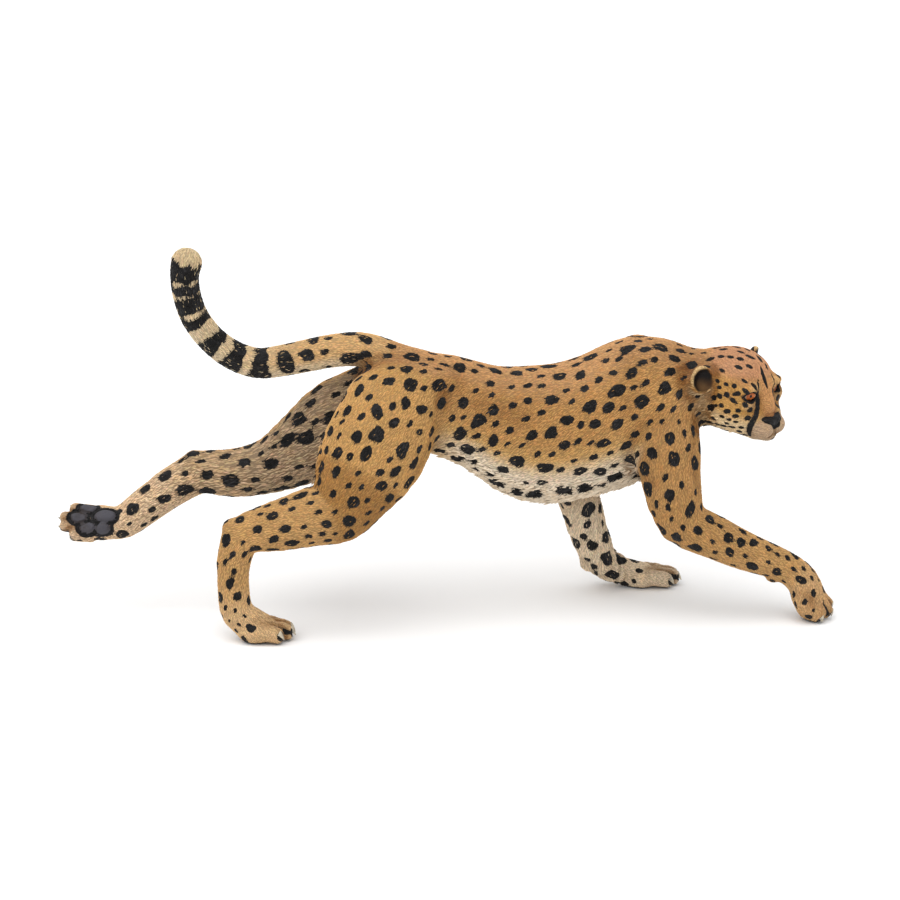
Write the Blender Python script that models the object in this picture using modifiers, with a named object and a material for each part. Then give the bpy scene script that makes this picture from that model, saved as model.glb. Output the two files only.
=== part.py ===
"""A running cheetah figurine of moulded plastic, parted into named solids.

The whole animal is one smooth shape, given by a distance field over named joints.
Beads laid along those joints are fused into one skin, the skin is settled onto the field,
its soles are cut flat at the floor, and thin cuts part it into head, neck, trunk, tail and legs.

Frame: X runs forward along the back, Y to the animal's left, Z up, with the floor at Z = 0.
All values are millimetres until the last step, which writes metres.
"""
import math

import bmesh
import bpy
import numpy as np
from mathutils import Matrix, Vector

MM = 0.001                    # millimetres to metres
GAP = 0.3                     # clear width of every cut between two pieces
ROUNDS, SMALL_ROUNDS = (12, 7), (10, 6)    # segments round and up the bowls that cut limbs, ears and nose
CENTRE = (-0.83, 1.56)        # middle of the figurine's footprint in the joints' own frame
VOXEL, FINE_VOXEL = 0.7, 0.6  # grids of the first and the second fused skin
SETTLE_STEPS, FINE_STEPS = 6, 3    # moves of each skin point towards the true surface
TRIANGLES = 4020              # faces kept on the whole skin before the cuts
HEAD_THINNING, PAW_THINNING, CARE = 0.15, 0.5, 0.02   # how freely the detail of head and paws is thinned
FAR = 1.0e3                   # a distance beyond every shape
NUDGE = 0.02                  # step for the field's slope

# Trunk, rump to chest: place along X, top, underside, half width, narrowing towards the belly
TRUNK = np.array([
    (-21.0, 56.5, 49.0, 5.6, 0.00),
    (-15.0, 59.6, 43.5, 7.8, 0.00),
    (-8.0, 60.3, 39.5, 9.0, 0.05),
    (-3.0, 59.7, 37.2, 8.8, 0.10),
    (1.5, 59.0, 35.4, 8.2, 0.14),
    (5.5, 57.9, 32.9, 8.0, 0.18),
    (10.0, 56.7, 29.5, 8.5, 0.22),
    (17.5, 56.5, 26.4, 9.8, 0.24),
    (24.0, 57.1, 26.1, 10.6, 0.22),
    (29.0, 58.6, 26.9, 10.9, 0.20),
    (33.5, 60.6, 27.9, 10.9, 0.20),
    (38.0, 61.9, 29.2, 10.7, 0.20),
    (43.0, 62.2, 31.0, 10.3, 0.20),
    (49.0, 61.4, 33.4, 9.4, 0.15),
    (56.0, 60.2, 38.5, 8.2, 0.10),
])
TRUNK_REACH = (-19.5, 50.6)   # the trunk's rounded ends
TRUNK_END = 5.0               # how softly it closes there

# Tail, root to tip: place and radius
TAIL = [
    (-8.0, 0.0, 56.2, 4.2), (-14.0, 0.0, 59.2, 3.9), (-19.5, 0.1, 60.9, 3.75), (-25.5, 0.5, 60.6, 3.6),
    (-31.5, 1.0, 59.4, 3.5), (-36.9, 1.5, 58.3, 3.4), (-41.8, 2.0, 57.8, 3.3), (-46.9, 2.0, 59.6, 3.2),
    (-51.4, 1.2, 63.3, 3.05), (-54.8, 0.1, 68.3, 3.0), (-56.4, -1.0, 73.6, 3.0), (-56.7, -2.0, 78.0, 3.05),
    (-56.2, -2.4, 80.7, 3.3),
]

# Head: place between the eyes, and its turn
EYES_MID = (66.7, -11.0, 52.9)
HEAD_YAW, HEAD_PITCH, HEAD_ROLL = -47.0, 15.0, 4.0
EYE = (-0.7, 3.5, 0.1)        # centre of the left eyeball in the head's own frame
EYE_RADIUS = 1.65
SOCKET_CLEAR = 0.3            # space round an eyeball
EAR_RADII = (1.6, 2.4, 3.4)
EAR = (-9.7, 9.5, 0.8)        # centre of the left ear's base

# Legs: each joint's place and radius, and how much thinner the leg is sideways than fore and aft
LEGS = {
    "fore_right": dict(
        flat=0.80, joints=[
            (48.0, -7.8, 42.2, 5.8), (47.8, -10.2, 32.0, 6.3), (50.4, -10.2, 23.8, 5.3), (57.6, -9.9, 19.7, 4.8),
            (64.5, -9.3, 16.2, 4.25), (73.1, -8.6, 12.5, 3.55), (77.7, -8.4, 8.9, 3.6), (80.0, -9.4, 3.6, 3.7)]),
    "fore_left": dict(
        flat=0.80, joints=[
            (46.0, 7.5, 41.5, 6.5), (38.0, 9.3, 34.5, 6.3), (30.2, 11.0, 27.2, 5.2), (30.9, 12.5, 21.1, 4.6),
            (33.3, 14.3, 13.3, 4.3), (36.2, 15.8, 6.9, 3.75), (40.8, 16.5, 4.0, 3.2), (45.6, 17.0, 2.6, 3.0)]),
    "hind_right": dict(
        flat=0.72, joints=[
            (-12.4, -6.5, 48.5, 10.0), (-16.8, -9.5, 41.0, 11.3), (-21.3, -11.6, 33.3, 8.7),
            (-24.6, -12.4, 28.4, 7.0), (-30.0, -12.5, 27.2, 6.5), (-37.5, -12.5, 25.2, 5.5),
            (-45.0, -13.0, 23.2, 4.1), (-47.4, -13.3, 17.5, 3.5), (-47.7, -14.0, 11.4, 3.4),
            (-46.8, -14.4, 6.2, 3.55), (-42.6, -14.5, 3.0, 3.5)]),
    "hind_left": dict(
        flat=0.72, joints=[
            (-12.6, 6.0, 47.5, 9.4), (-22.5, 8.2, 42.8, 10.4), (-30.8, 10.0, 37.2, 8.5), (-38.9, 11.0, 32.5, 6.4),
            (-47.6, 11.0, 30.6, 5.4), (-54.9, 11.0, 30.8, 4.6), (-61.0, 10.5, 28.0, 4.3),
            (-66.7, 10.0, 24.3, 4.15), (-72.3, 9.4, 20.4, 3.8), (-76.6, 9.0, 20.1, 3.7)]),
}

# Paws: where the ball is, which way the toes point, which way the sole faces, and the spread of the toes
PAWS = {
    "fore_right": dict(ball=(79.8, -9.3, 4.4), toes=(0.90, 0.05, -0.40), sole=(-0.36, 0.51, -0.76),
                       long=5.4, wide=9.6, deep=2.3),
    "fore_left": dict(ball=(46.2, 17.0, 2.2), toes=(1.0, 0.09, 0.0), sole=(0.0, 0.0, -1.0),
                      long=8.6, wide=9.2, deep=2.45),
    "hind_right": dict(ball=(-42.6, -14.5, 2.4), toes=(1.0, 0.02, 0.0), sole=(0.0, 0.0, -1.0),
                       long=7.6, wide=9.4, deep=2.6),
    "hind_left": dict(ball=(-78.2, 8.9, 20.3), toes=(-1.0, -0.05, 0.03), sole=(-0.05, -0.76, 0.65),
                      long=8.6, wide=9.0, deep=2.3),
}


TOE, TOE_TALL, TOE_FILLET = 1.42, 1.3, 0.55      # a toe's radius, its height against its width, the groove between
OUTER_TOE_BACK = 1.0          # how much shorter the two outer toes are
SOLE_PADS = [                                    # pads of the raised sole: centre and radii in the paw's frame
    ((-0.6, 0.0, -1.9), (2.2, 2.6, 1.0)),
    ((3.6, -3.1, -1.6), (1.5, 1.1, 0.7)), ((4.6, -1.1, -1.7), (1.6, 1.1, 0.7)),
    ((4.6, 1.1, -1.7), (1.6, 1.1, 0.7)), ((3.6, 3.1, -1.6), (1.5, 1.1, 0.7)),
]
UPWARD = np.array([0.0, 0.0, 1.0])
SIDE = np.array([0.0, 1.0, 0.0])


def unit(v):
    v = np.asarray(v, float)
    return v / np.linalg.norm(v)


def frame_of(forward, up):
    """Three unit axes as columns: forward, left and up."""
    forward = unit(forward)
    left = unit(np.cross(up, forward))
    return np.stack([forward, left, np.cross(forward, left)], axis=1)


EAR_AXES = frame_of((0.75, 0.62, 0.1), (-0.1, 0.1, 1.0))

# Muscles as ovals: centre, radii, own axes; and cords: two ends, each a place and a radius
BLADE = frame_of((0.93, 0, 0.37), (-0.37, 0, 0.93))
MUSCLES = [
    ((44.5, -6.4, 51.5), (6.0, 4.6, 10.6), BLADE),
    ((44.5, 6.4, 51.5), (6.0, 4.6, 10.6), BLADE),
    ((-4.5, -6.6, 54.5), (4.5, 2.6, 3.4), None),
    ((-4.5, 6.6, 54.5), (4.5, 2.6, 3.4), None),
    ((46.0, -9.6, 39.0), (6.4, 4.2, 6.6), None),
    ((40.5, 9.0, 38.0), (7.5, 4.2, 6.0), None),
]
CORDS = [
    ((48.6, -10.4, 23.5, 2.6), (47.6, -10.5, 21.9, 1.7)),     # right elbow
    ((71.4, -8.6, 10.8, 1.5), (70.9, -8.6, 9.9, 1.1)),        # right wrist pad
    ((28.6, 11.2, 26.6, 2.4), (27.4, 11.2, 26.0, 1.8)),       # left elbow
    ((33.8, 15.8, 6.8, 1.7), (33.0, 15.8, 6.0, 1.3)),         # left wrist pad
    ((-38.5, -12.8, 28.0, 2.1), (-48.0, -13.0, 25.3, 1.3)),   # right heel
    ((-48.0, -13.0, 25.3, 1.3), (-48.9, -13.4, 17.5, 1.8)),
    ((-47.5, 11.0, 33.2, 2.2), (-56.7, 11.0, 34.2, 1.3)),     # left heel
    ((-56.7, 11.0, 34.2, 1.3), (-63.5, 10.4, 29.0, 1.9)),
    ((-17.0, -6.8, 51.0, 6.0), (-20.6, -8.8, 42.0, 6.6)),     # hamstrings
    ((-17.0, 6.8, 50.0, 6.0), (-26.0, 8.8, 41.5, 6.0)),
]
MUSCLE_FILLET, CORD_FILLET, LEG_FILLET = 3.0, 1.6, 3.2
NECK = ((42.0, 0.0, 50.8, 10.4), (56.5, -2.2, 51.9, 8.3))
NECK_FLAT = 0.84


def head_axes():
    yaw, pitch, roll = (math.radians(a) for a in (HEAD_YAW, HEAD_PITCH, HEAD_ROLL))
    turn = Matrix.Rotation(yaw, 3, "Z") @ Matrix.Rotation(pitch, 3, "Y") @ Matrix.Rotation(roll, 3, "X")
    return np.array(turn)


HEAD_AXES = head_axes()


def from_head(point):
    return np.array(EYES_MID) + HEAD_AXES @ np.asarray(point, float)


# ---------------------------------------------------------------- distance shapes

def blend(a, b, k):
    """Smooth union of two distances; k is the width of the fillet."""
    h = np.clip(k - np.abs(a - b), 0.0, None) / k
    return np.minimum(a, b) - h * h * k * 0.25


def carve(a, b, k):
    """Smooth cut of shape b out of shape a."""
    return -blend(-a, b, k)


def bone(p, a, b, ra, rb, side=None, flat=1.0):
    """A round cone between two joints, thinner along side by the factor flat."""
    a, b = np.asarray(a, float), np.asarray(b, float)
    ab = b - a
    pa = p - a
    t = np.clip(pa @ ab / (ab @ ab), 0.0, 1.0)
    off = pa - t[:, None] * ab
    if side is not None:
        off = off + np.outer(off @ side, side) * (1.0 / flat - 1.0)
    return np.linalg.norm(off, axis=1) - (ra + (rb - ra) * t)


def oval(p, centre, radii, axes=None):
    """An ellipsoid; axes holds its own directions as columns."""
    q = p - np.asarray(centre, float)
    if axes is not None:
        q = q @ axes
    radii = np.asarray(radii, float)
    k0 = np.linalg.norm(q / radii, axis=1)
    k1 = np.linalg.norm(q / radii ** 2, axis=1) + 1e-9
    return k0 * (k0 - 1.0) / k1


def curve_through(x, table, column):
    """A smooth curve through one column of a table whose first column is the place."""
    xs, ys = table[:, 0], table[:, column]
    slope = np.gradient(ys, xs)
    i = np.clip(np.searchsorted(xs, x) - 1, 0, len(xs) - 2)
    span = xs[i + 1] - xs[i]
    t = np.clip((x - xs[i]) / span, 0.0, 1.0)
    return ((1 + 2 * t) * (1 - t) ** 2 * ys[i] + t * (1 - t) ** 2 * span * slope[i]
            + t * t * (3 - 2 * t) * ys[i + 1] + t * t * (t - 1) * span * slope[i + 1])


def near(p, centre, reach):
    """Which points lie close enough to a shape to feel it."""
    return np.linalg.norm(p - np.asarray(centre, float), axis=1) < reach


def trunk_field(p):
    x = np.clip(p[:, 0], TRUNK[0, 0], TRUNK[-1, 0])
    top, low, wide, narrow = (curve_through(x, TRUNK, c) for c in (1, 2, 3, 4))
    mid, high = (top + low) / 2, (top - low) / 2
    up = p[:, 2] - mid
    wide = wide * (1.0 + narrow * np.clip(up / high, -1.0, 1.0))
    k0 = np.sqrt((p[:, 1] / wide) ** 2 + (up / high) ** 2)
    k1 = np.sqrt((p[:, 1] / wide ** 2) ** 2 + (up / high ** 2) ** 2) + 1e-9
    body = k0 * (k0 - 1.0) / k1
    ends = np.maximum(TRUNK_REACH[0] - p[:, 0], p[:, 0] - TRUNK_REACH[1])
    return -blend(-body, -ends, TRUNK_END)


def tail_field(p):
    d = np.full(len(p), FAR)
    for a, b in zip(TAIL, TAIL[1:]):
        d = np.minimum(d, bone(p, a[:3], b[:3], a[3], b[3]))
    return d


def head_field(q):
    """The head in its own frame: x forward from between the eyes, y left, z up."""
    s = np.abs(q[:, 1])
    m = np.stack([q[:, 0], s, q[:, 2]], axis=1)
    d = oval(q, (-7.4, 0.0, 0.2), (8.0, 7.4, 6.3))                                   # cranium
    d = blend(d, bone(q, (-4.8, 0, 0.4), (0.2, 0, -2.6), 4.9, 3.0), 2.5)             # forehead
    d = blend(d, oval(m, (-3.9, 4.5, -3.9), (5.2, 3.8, 4.3)), 2.5)                   # cheek
    d = blend(d, bone(m, (-4.0, 3.6, -5.2), (0.8, 2.9, -5.7), 4.0, 2.8), 1.5)        # side of the muzzle
    d = blend(d, bone(m, (-6.5, 3.4, -7.1), (1.5, 1.8, -8.5), 3.6, 2.0), 2.0)        # jaw
    d = blend(d, bone(q, (-1.8, 0, -0.4), (1.7, 0, -4.0), 2.9, 1.9), 1.0)            # bridge of the nose
    d = blend(d, oval(m, (2.9, 2.1, -7.0), (2.9, 2.7, 2.3)), 0.8)                    # whisker pad
    d = blend(d, oval(q, (3.0, 0.0, -9.0), (2.4, 2.5, 1.4)), 0.8)                    # chin
    d = blend(d, oval(m, (-1.3, 4.6, 0.6), (2.0, 2.3, 1.6)), 1.8)                    # brow
    d = blend(d, oval(m, (-0.8, 5.4, -1.7), (2.1, 1.9, 1.6)), 1.4)                   # cheekbone
    d = blend(d, oval(q, (3.5, 0.0, -5.8), (1.5, 2.5, 1.6)), 0.4)                    # nose
    d = carve(d, oval(m, (1.1, 5.0, 0.1), (0.9, 1.3, 0.8)), 0.5)                     # eye hollow
    d = blend(d, oval(m, (-10.6, 7.4, -0.4), (2.2, 1.9, 3.0)), 1.5)                  # root of the ear
    ear = oval(m, EAR, EAR_RADII, EAR_AXES)
    ear = carve(ear, oval(m, (EAR[0] + 1.5, EAR[1] + 1.4, EAR[2] - 0.1), (1.5, 1.6, 2.4), EAR_AXES), 0.5)
    return blend(d, ear, 0.8)


def paw_axes(name):
    paw = PAWS[name]
    return frame_of(paw["toes"], -unit(paw["sole"]))


def toes_of(name):
    """Each toe's knuckle and tip in the paw's own frame, outer toes a little shorter."""
    paw = PAWS[name]
    for i, y in enumerate(np.linspace(-1.0, 1.0, 4) * (paw["wide"] / 2 - TOE)):
        lead = paw["long"] - TOE - (OUTER_TOE_BACK if i in (0, 3) else 0.0)
        yield np.array((lead - 3.4, y * 0.94, 0.5)), np.array((lead, y, -0.3))


def paw_field(p, name):
    """Four toes side by side in front of the ball of the paw, and the pads under them."""
    paw = PAWS[name]
    q = (p - np.asarray(paw["ball"])) @ paw_axes(name)
    d = oval(q, (-0.4, 0, 0.0), (4.2, paw["wide"] * 0.46, paw["deep"] * 1.12))
    for knuckle, tip in toes_of(name):
        d = blend(d, bone(q, knuckle, tip, TOE * 1.06, TOE, UPWARD, TOE_TALL), TOE_FILLET)
    if name == "hind_left":
        for centre, radii in SOLE_PADS:
            d = blend(d, oval(q, centre, radii), 0.3)
    return d


def leg_field(p, name):
    leg = LEGS[name]
    joints = leg["joints"]
    d = np.full(len(p), FAR)
    for n, (a, b) in enumerate(zip(joints, joints[1:])):
        d = blend(d, bone(p, a[:3], b[:3], a[3], b[3], SIDE, leg["flat"] + 0.04 * min(n, 4)), 0.8)
    return d


def muscles(p, d):
    """Shoulder blades, upper arms, hips, haunches, elbows and heel cords that stand out of the body."""
    for centre, radii, axes in MUSCLES:
        mask = near(p, centre, max(radii) + 8.0)
        d[mask] = blend(d[mask], oval(p[mask], centre, radii, axes), MUSCLE_FILLET)
    for a, b in CORDS:
        mask = near(p, a[:3], np.linalg.norm(np.subtract(b[:3], a[:3])) + 8.0)
        d[mask] = blend(d[mask], bone(p[mask], a[:3], b[:3], a[3], b[3]), CORD_FILLET)
    return d


def body_field(p):
    """Distance from each point to the surface of the whole animal, in millimetres."""
    d = trunk_field(p)
    d = blend(d, bone(p, NECK[0][:3], NECK[1][:3], NECK[0][3], NECK[1][3], SIDE, NECK_FLAT), 4.0)
    mask = p[:, 0] < TAIL[0][0] + 8.0
    d[mask] = blend(d[mask], tail_field(p[mask]), 2.2)
    for name, leg in LEGS.items():
        places = np.array(leg["joints"])[:, :3]
        mask = np.all((p > places.min(0) - 14.0) & (p < places.max(0) + 14.0), axis=1)
        d[mask] = blend(d[mask], leg_field(p[mask], name), LEG_FILLET)
    d = muscles(p, d)
    for name, paw in PAWS.items():
        mask = near(p, paw["ball"], 16.0)
        d[mask] = blend(d[mask], paw_field(p[mask], name), 1.0)
    mask = near(p, from_head((-4.0, 0, -2.0)), 26.0)
    q = (p[mask] - np.array(EYES_MID)) @ HEAD_AXES
    d[mask] = blend(d[mask], head_field(q), 2.4)
    return d


# ---------------------------------------------------------------- the skin

def bead(centre, radii, axes=None):
    """Where one ball of the first rough body goes."""
    turn = Matrix.Identity(3) if axes is None else Matrix(np.asarray(axes).tolist())
    return Matrix.Translation(Vector(centre)) @ turn.to_4x4() @ Matrix.Diagonal((*radii, 1.0))


def beads_along(joints, fill=0.94, flat=1.0):
    places = []
    for a, b in zip(joints, joints[1:]):
        a, b = np.array(a), np.array(b)
        count = max(2, int(math.ceil(np.linalg.norm(b[:3] - a[:3]) / (0.35 * min(a[3], b[3])))))
        for t in np.linspace(0.0, 1.0, count):
            x, y, z, r = a + (b - a) * t
            places.append(bead((x, y, z), (r * fill, r * fill * flat, r * fill)))
    return places


def rough_body():
    """Balls that fill the animal nearly to its surface, as one mesh for the Remesh modifier."""
    places = []
    for x in np.arange(TRUNK_REACH[0] + 3.0, TRUNK_REACH[1] - 1.0, 2.0):
        top, low, wide = (float(curve_through(np.array([x]), TRUNK, c)[0]) for c in (1, 2, 3))
        places.append(bead((x, 0, (top + low) / 2), (4.0, wide * 0.88, (top - low) / 2 * 0.96)))
    places += beads_along([NECK[0], NECK[1]], flat=NECK_FLAT)
    places += beads_along(TAIL)
    for name, leg in LEGS.items():
        places += beads_along(leg["joints"], flat=leg["flat"])
        paw = PAWS[name]
        axes = paw_axes(name)
        middle = np.array(paw["ball"]) + axes[:, 0] * 0.6
        places.append(bead(middle, (paw["long"] * 0.92, paw["wide"] * 0.46, paw["deep"]), axes))
        for knuckle, tip in toes_of(name):
            ends = [(*(np.array(paw["ball"]) + axes @ end), TOE) for end in (knuckle, tip)]
            places += beads_along(ends)
    for centre, radii, axes in MUSCLES:
        places.append(bead(centre, np.array(radii) * 0.92, axes))
    for a, b in CORDS:
        places += beads_along([a, b])
    for centre, radii in (((-7.2, 0, 0.9), (8.0, 7.3, 6.6)), ((-3.0, 0, -3.8), (6.5, 7.0, 5.5)),
                          ((1.6, 0, -6.2), (3.6, 4.4, 3.6)), ((-1.0, 5.0, -0.4), (1.8, 2.2, 2.6)),
                          ((-1.0, -5.0, -0.4), (1.8, 2.2, 2.6))):
        places.append(bead(from_head(centre), radii, HEAD_AXES))
    for side in (1, -1):
        mirror = np.diag([1.0, side, 1.0])
        places.append(bead(from_head(mirror @ np.array(EAR)), EAR_RADII, HEAD_AXES @ mirror @ EAR_AXES @ mirror))
    bm = bmesh.new()
    bmesh.ops.create_uvsphere(bm, u_segments=16, v_segments=10, radius=1.0)
    ball = bpy.data.meshes.new("ball")
    bm.to_mesh(ball)
    bm.clear()
    for place in places:
        copy = ball.copy()
        copy.transform(place)
        bm.from_mesh(copy)
        bpy.data.meshes.remove(copy)
    mesh = bpy.data.meshes.new("skin")
    bm.to_mesh(mesh)
    bm.free()
    return mesh


def settle(points, steps=SETTLE_STEPS):
    """Moves points down the slope of the field until they lie on the surface."""
    for _ in range(steps):
        d = body_field(points)
        slope = np.stack([body_field(points + NUDGE * axis) - d for axis in np.eye(3)], axis=1) / NUDGE
        size = np.clip((slope * slope).sum(axis=1), 0.25, None)
        move = np.clip(d / size, -1.2, 1.2)[:, None] * slope
        points = points - move
    return points


def mesh_points(mesh):
    flat = np.empty(len(mesh.vertices) * 3)
    mesh.vertices.foreach_get("co", flat)
    return flat.reshape(-1, 3)


def new_object(name, mesh, collection):
    obj = bpy.data.objects.new(name, mesh)
    collection.objects.link(obj)
    return obj


def evaluated_mesh(obj):
    bpy.context.view_layer.update()
    return bpy.data.meshes.new_from_object(obj.evaluated_get(bpy.context.evaluated_depsgraph_get()))


def drop(*objects):
    for obj in objects:
        bpy.data.objects.remove(obj)


def fused(mesh, voxel, collection):
    """One closed skin round everything in a mesh."""
    obj = new_object("skin", mesh, collection)
    fuse = obj.modifiers.new("fuse", "REMESH")
    fuse.mode = "VOXEL"
    fuse.voxel_size = voxel
    skin = evaluated_mesh(obj)
    drop(obj)
    return skin


def smooth_and_settle(mesh, rounds, factor, steps):
    bm = bmesh.new()
    bm.from_mesh(mesh)
    for _ in range(rounds):
        bmesh.ops.smooth_vert(bm, verts=bm.verts, factor=factor, use_axis_x=True, use_axis_y=True, use_axis_z=True)
    bm.to_mesh(mesh)
    bm.free()
    mesh.vertices.foreach_set("co", settle(mesh_points(mesh), steps).ravel())


def make_skin(collection):
    """The whole animal as one closed mesh in millimetres."""
    skin = fused(rough_body(), VOXEL, collection)
    smooth_and_settle(skin, 3, 0.5, SETTLE_STEPS)
    skin = fused(skin, FINE_VOXEL, collection)
    smooth_and_settle(skin, 1, 0.3, FINE_STEPS)
    fine = new_object("skin", skin, collection)
    places = mesh_points(skin)
    face = near(places, from_head((-1.0, 0.0, -3.0)), 11.0)
    paws = np.any([near(places, paw["ball"], 8.5) for paw in PAWS.values()], axis=0)
    group = fine.vertex_groups.new(name="may thin")
    for chosen, freedom in ((~face & ~paws, 1.0), (paws, PAW_THINNING), (face, HEAD_THINNING)):
        group.add(np.flatnonzero(chosen).tolist(), freedom, "REPLACE")
    thin = fine.modifiers.new("thin", "DECIMATE")
    thin.ratio = TRIANGLES / (2 * len(skin.polygons))
    thin.vertex_group = group.name
    thin.vertex_group_factor = CARE
    light = evaluated_mesh(fine)
    drop(fine)
    return new_object("skin", light, collection)


def flatten_soles(obj):
    """Cuts the skin at the floor and caps the cuts, so that the paws stand on flats."""
    bm = bmesh.new()
    bm.from_mesh(obj.data)
    everything = bm.verts[:] + bm.edges[:] + bm.faces[:]
    bmesh.ops.bisect_plane(bm, geom=everything, plane_co=(0, 0, 0), plane_no=(0, 0, 1), clear_inner=True)
    rims = [e for e in bm.edges if e.is_boundary]
    bmesh.ops.holes_fill(bm, edges=rims, sides=0)
    bmesh.ops.triangulate(bm, faces=bm.faces[:])
    bm.to_mesh(obj.data)
    bm.free()


# ---------------------------------------------------------------- the cuts

def ellipsoid_shell(bm, centre, radii, axes, rounds=ROUNDS):
    """A thin hollow bowl that frees what lies inside it."""
    for grow, flip in ((GAP, False), (0.0, True)):
        place = bead(centre, np.array(radii) + grow, axes)
        made = bmesh.ops.create_uvsphere(bm, u_segments=rounds[0], v_segments=rounds[1], radius=1.0, matrix=place)
        if flip:
            faces = {f for v in made["verts"] for f in v.link_faces}
            bmesh.ops.reverse_faces(bm, faces=list(faces))


def disc(bm, centre, normal, radius):
    """A thin slice across a limb."""
    turn = Vector(normal).to_track_quat("Z", "Y").to_matrix().to_4x4()
    bmesh.ops.create_cone(bm, cap_ends=True, segments=8, radius1=radius, radius2=radius, depth=GAP,
                          matrix=Matrix.Translation(Vector(centre)) @ turn)


def loose_parts(mesh, collection):
    """Every separate body of a mesh as an object of its own."""
    bm = bmesh.new()
    bm.from_mesh(mesh)
    left = set(bm.verts)
    parts = []
    while left:
        body, edge = set(), [left.pop()]
        while edge:
            v = edge.pop()
            body.add(v)
            for e in v.link_edges:
                other = e.other_vert(v)
                if other in left:
                    left.discard(other)
                    edge.append(other)
        parts.append({v.index for v in body})
    objects = []
    for number, keep in enumerate(parts):
        piece = bm.copy()
        bmesh.ops.delete(piece, geom=[v for v in piece.verts if v.index not in keep], context="VERTS")
        made = bpy.data.meshes.new(f"piece {number}")
        piece.to_mesh(made)
        piece.free()
        objects.append(new_object(f"piece {number}", made, collection))
    bm.free()
    return objects


def volume(obj):
    bm = bmesh.new()
    bm.from_mesh(obj.data)
    size = bm.calc_volume()
    bm.free()
    return size


def part_with(obj, shape, seeds, cutters, pieces):
    """Cuts an object and returns its bodies in the order of the seed points nearest to them."""
    bm = bmesh.new()
    shape[0](bm, *shape[1:])
    bmesh.ops.triangulate(bm, faces=bm.faces[:])
    mesh = bpy.data.meshes.new("cut")
    bm.to_mesh(mesh)
    bm.free()
    knife = new_object("cut", mesh, cutters)
    knife_place = np.round(mesh_points(mesh).mean(0), 1)
    knife.display_type = "WIRE"
    knife.hide_render = True
    cut = obj.modifiers.new("cut", "BOOLEAN")
    cut.operation = "DIFFERENCE"
    cut.solver = "EXACT"
    cut.object = knife
    result = evaluated_mesh(obj)
    drop(obj, knife)
    bodies = sorted(loose_parts(result, pieces), key=volume, reverse=True)
    if len(bodies) < len(seeds):
        raise RuntimeError(f"a cut at {tuple(knife_place)} left only {len(bodies)} bodies")
    for crumb in bodies[len(seeds):]:
        drop(crumb)
    bodies = bodies[:len(seeds)]
    found = []
    for seed in seeds:
        nearest = min(bodies, key=lambda b: min((v.co - Vector(seed)).length for v in b.data.vertices))
        bodies.remove(nearest)
        found.append(nearest)
    return found


# Bowls round the four upper legs: centre, radii, axes; and seeds inside the upper and the lower part
LEG_BOWLS = {
    "fore_right": ((48.6, -10.4, 34.0), (8.2, 6.6, 12.5), frame_of((1, 0, 0.05), (-0.05, 0, 1)),
                   (48.0, -16.0, 34.0), (62.0, -14.0, 17.0)),
    "fore_left": ((36.2, 10.8, 32.4), (8.6, 7.8, 14.0), frame_of((0.66, 0.0, -0.73), (0.73, -0.16, 0.66)),
                  (38.0, 15.0, 34.0), (32.0, 17.0, 16.0)),
    "hind_right": ((-17.0, -12.2, 41.0), (15.0, 11.2, 19.0), frame_of((0.88, 0.0, -0.46), (0.45, 0.23, 0.86)),
                   (-17.0, -19.0, 41.0), (-38.0, -17.0, 25.0)),
    "hind_left": ((-21.5, 10.5, 43.0), (14.0, 9.8, 20.0), frame_of((0.49, 0.0, -0.86), (0.857, -0.08, 0.489)),
                  (-22.0, 17.0, 43.0), (-48.0, 16.0, 31.0)),
}
# Slices: place, normal, radius
HEAD_SLICE = ((55.5, -2.5, 53.0), (0.80, -0.58, 0.15), 16.0)
NECK_SLICE = ((50.5, 0.0, 52.0), (0.90, -0.25, 0.36), 18.0)
TAIL_SLICES = {
    "tail_root": ((-20.5, 0.1, 60.9), (1.0, 0.0, 0.02), 4.7),
    "tail_middle": ((-35.5, 1.35, 58.6), (1.0, -0.09, 0.2), 6.0),
    "tail_tip": ((-50.6, 1.4, 62.4), (0.78, 0.15, -0.62), 6.0),
}
ASIDE = 8.0                   # how far from a tail slice its two seeds lie
WRIST_SLICES = {
    "fore_right": ((74.8, -8.5, 10.4), (0.64, 0.0, -0.77), 6.0),
    "fore_left": ((37.2, 15.9, 6.0), (0.84, 0.13, -0.53), 7.0),
}
HOCK_SLICES = {
    "hind_right": (((-46.9, -13.2, 19.8), (-0.3, -0.05, -0.95), 6.0),
                   ((-47.2, -14.2, 8.4), (0.1, 0.0, -1.0), 6.0)),
    "hind_left": (((-59.3, 10.6, 28.9), (-0.9, -0.08, -0.42), 7.0),
                  ((-71.5, 9.5, 21.0), (-0.85, -0.08, -0.52), 7.0)),
}
BACK = (15.0, 0.0, 70.0)      # a seed above the back, nearest to the trunk
EAR_BOWL = (1.9, 2.9, 3.7)
NOSE_BOWL = ((4.4, 0.0, -5.7), (1.3, 2.5, 1.5))


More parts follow.
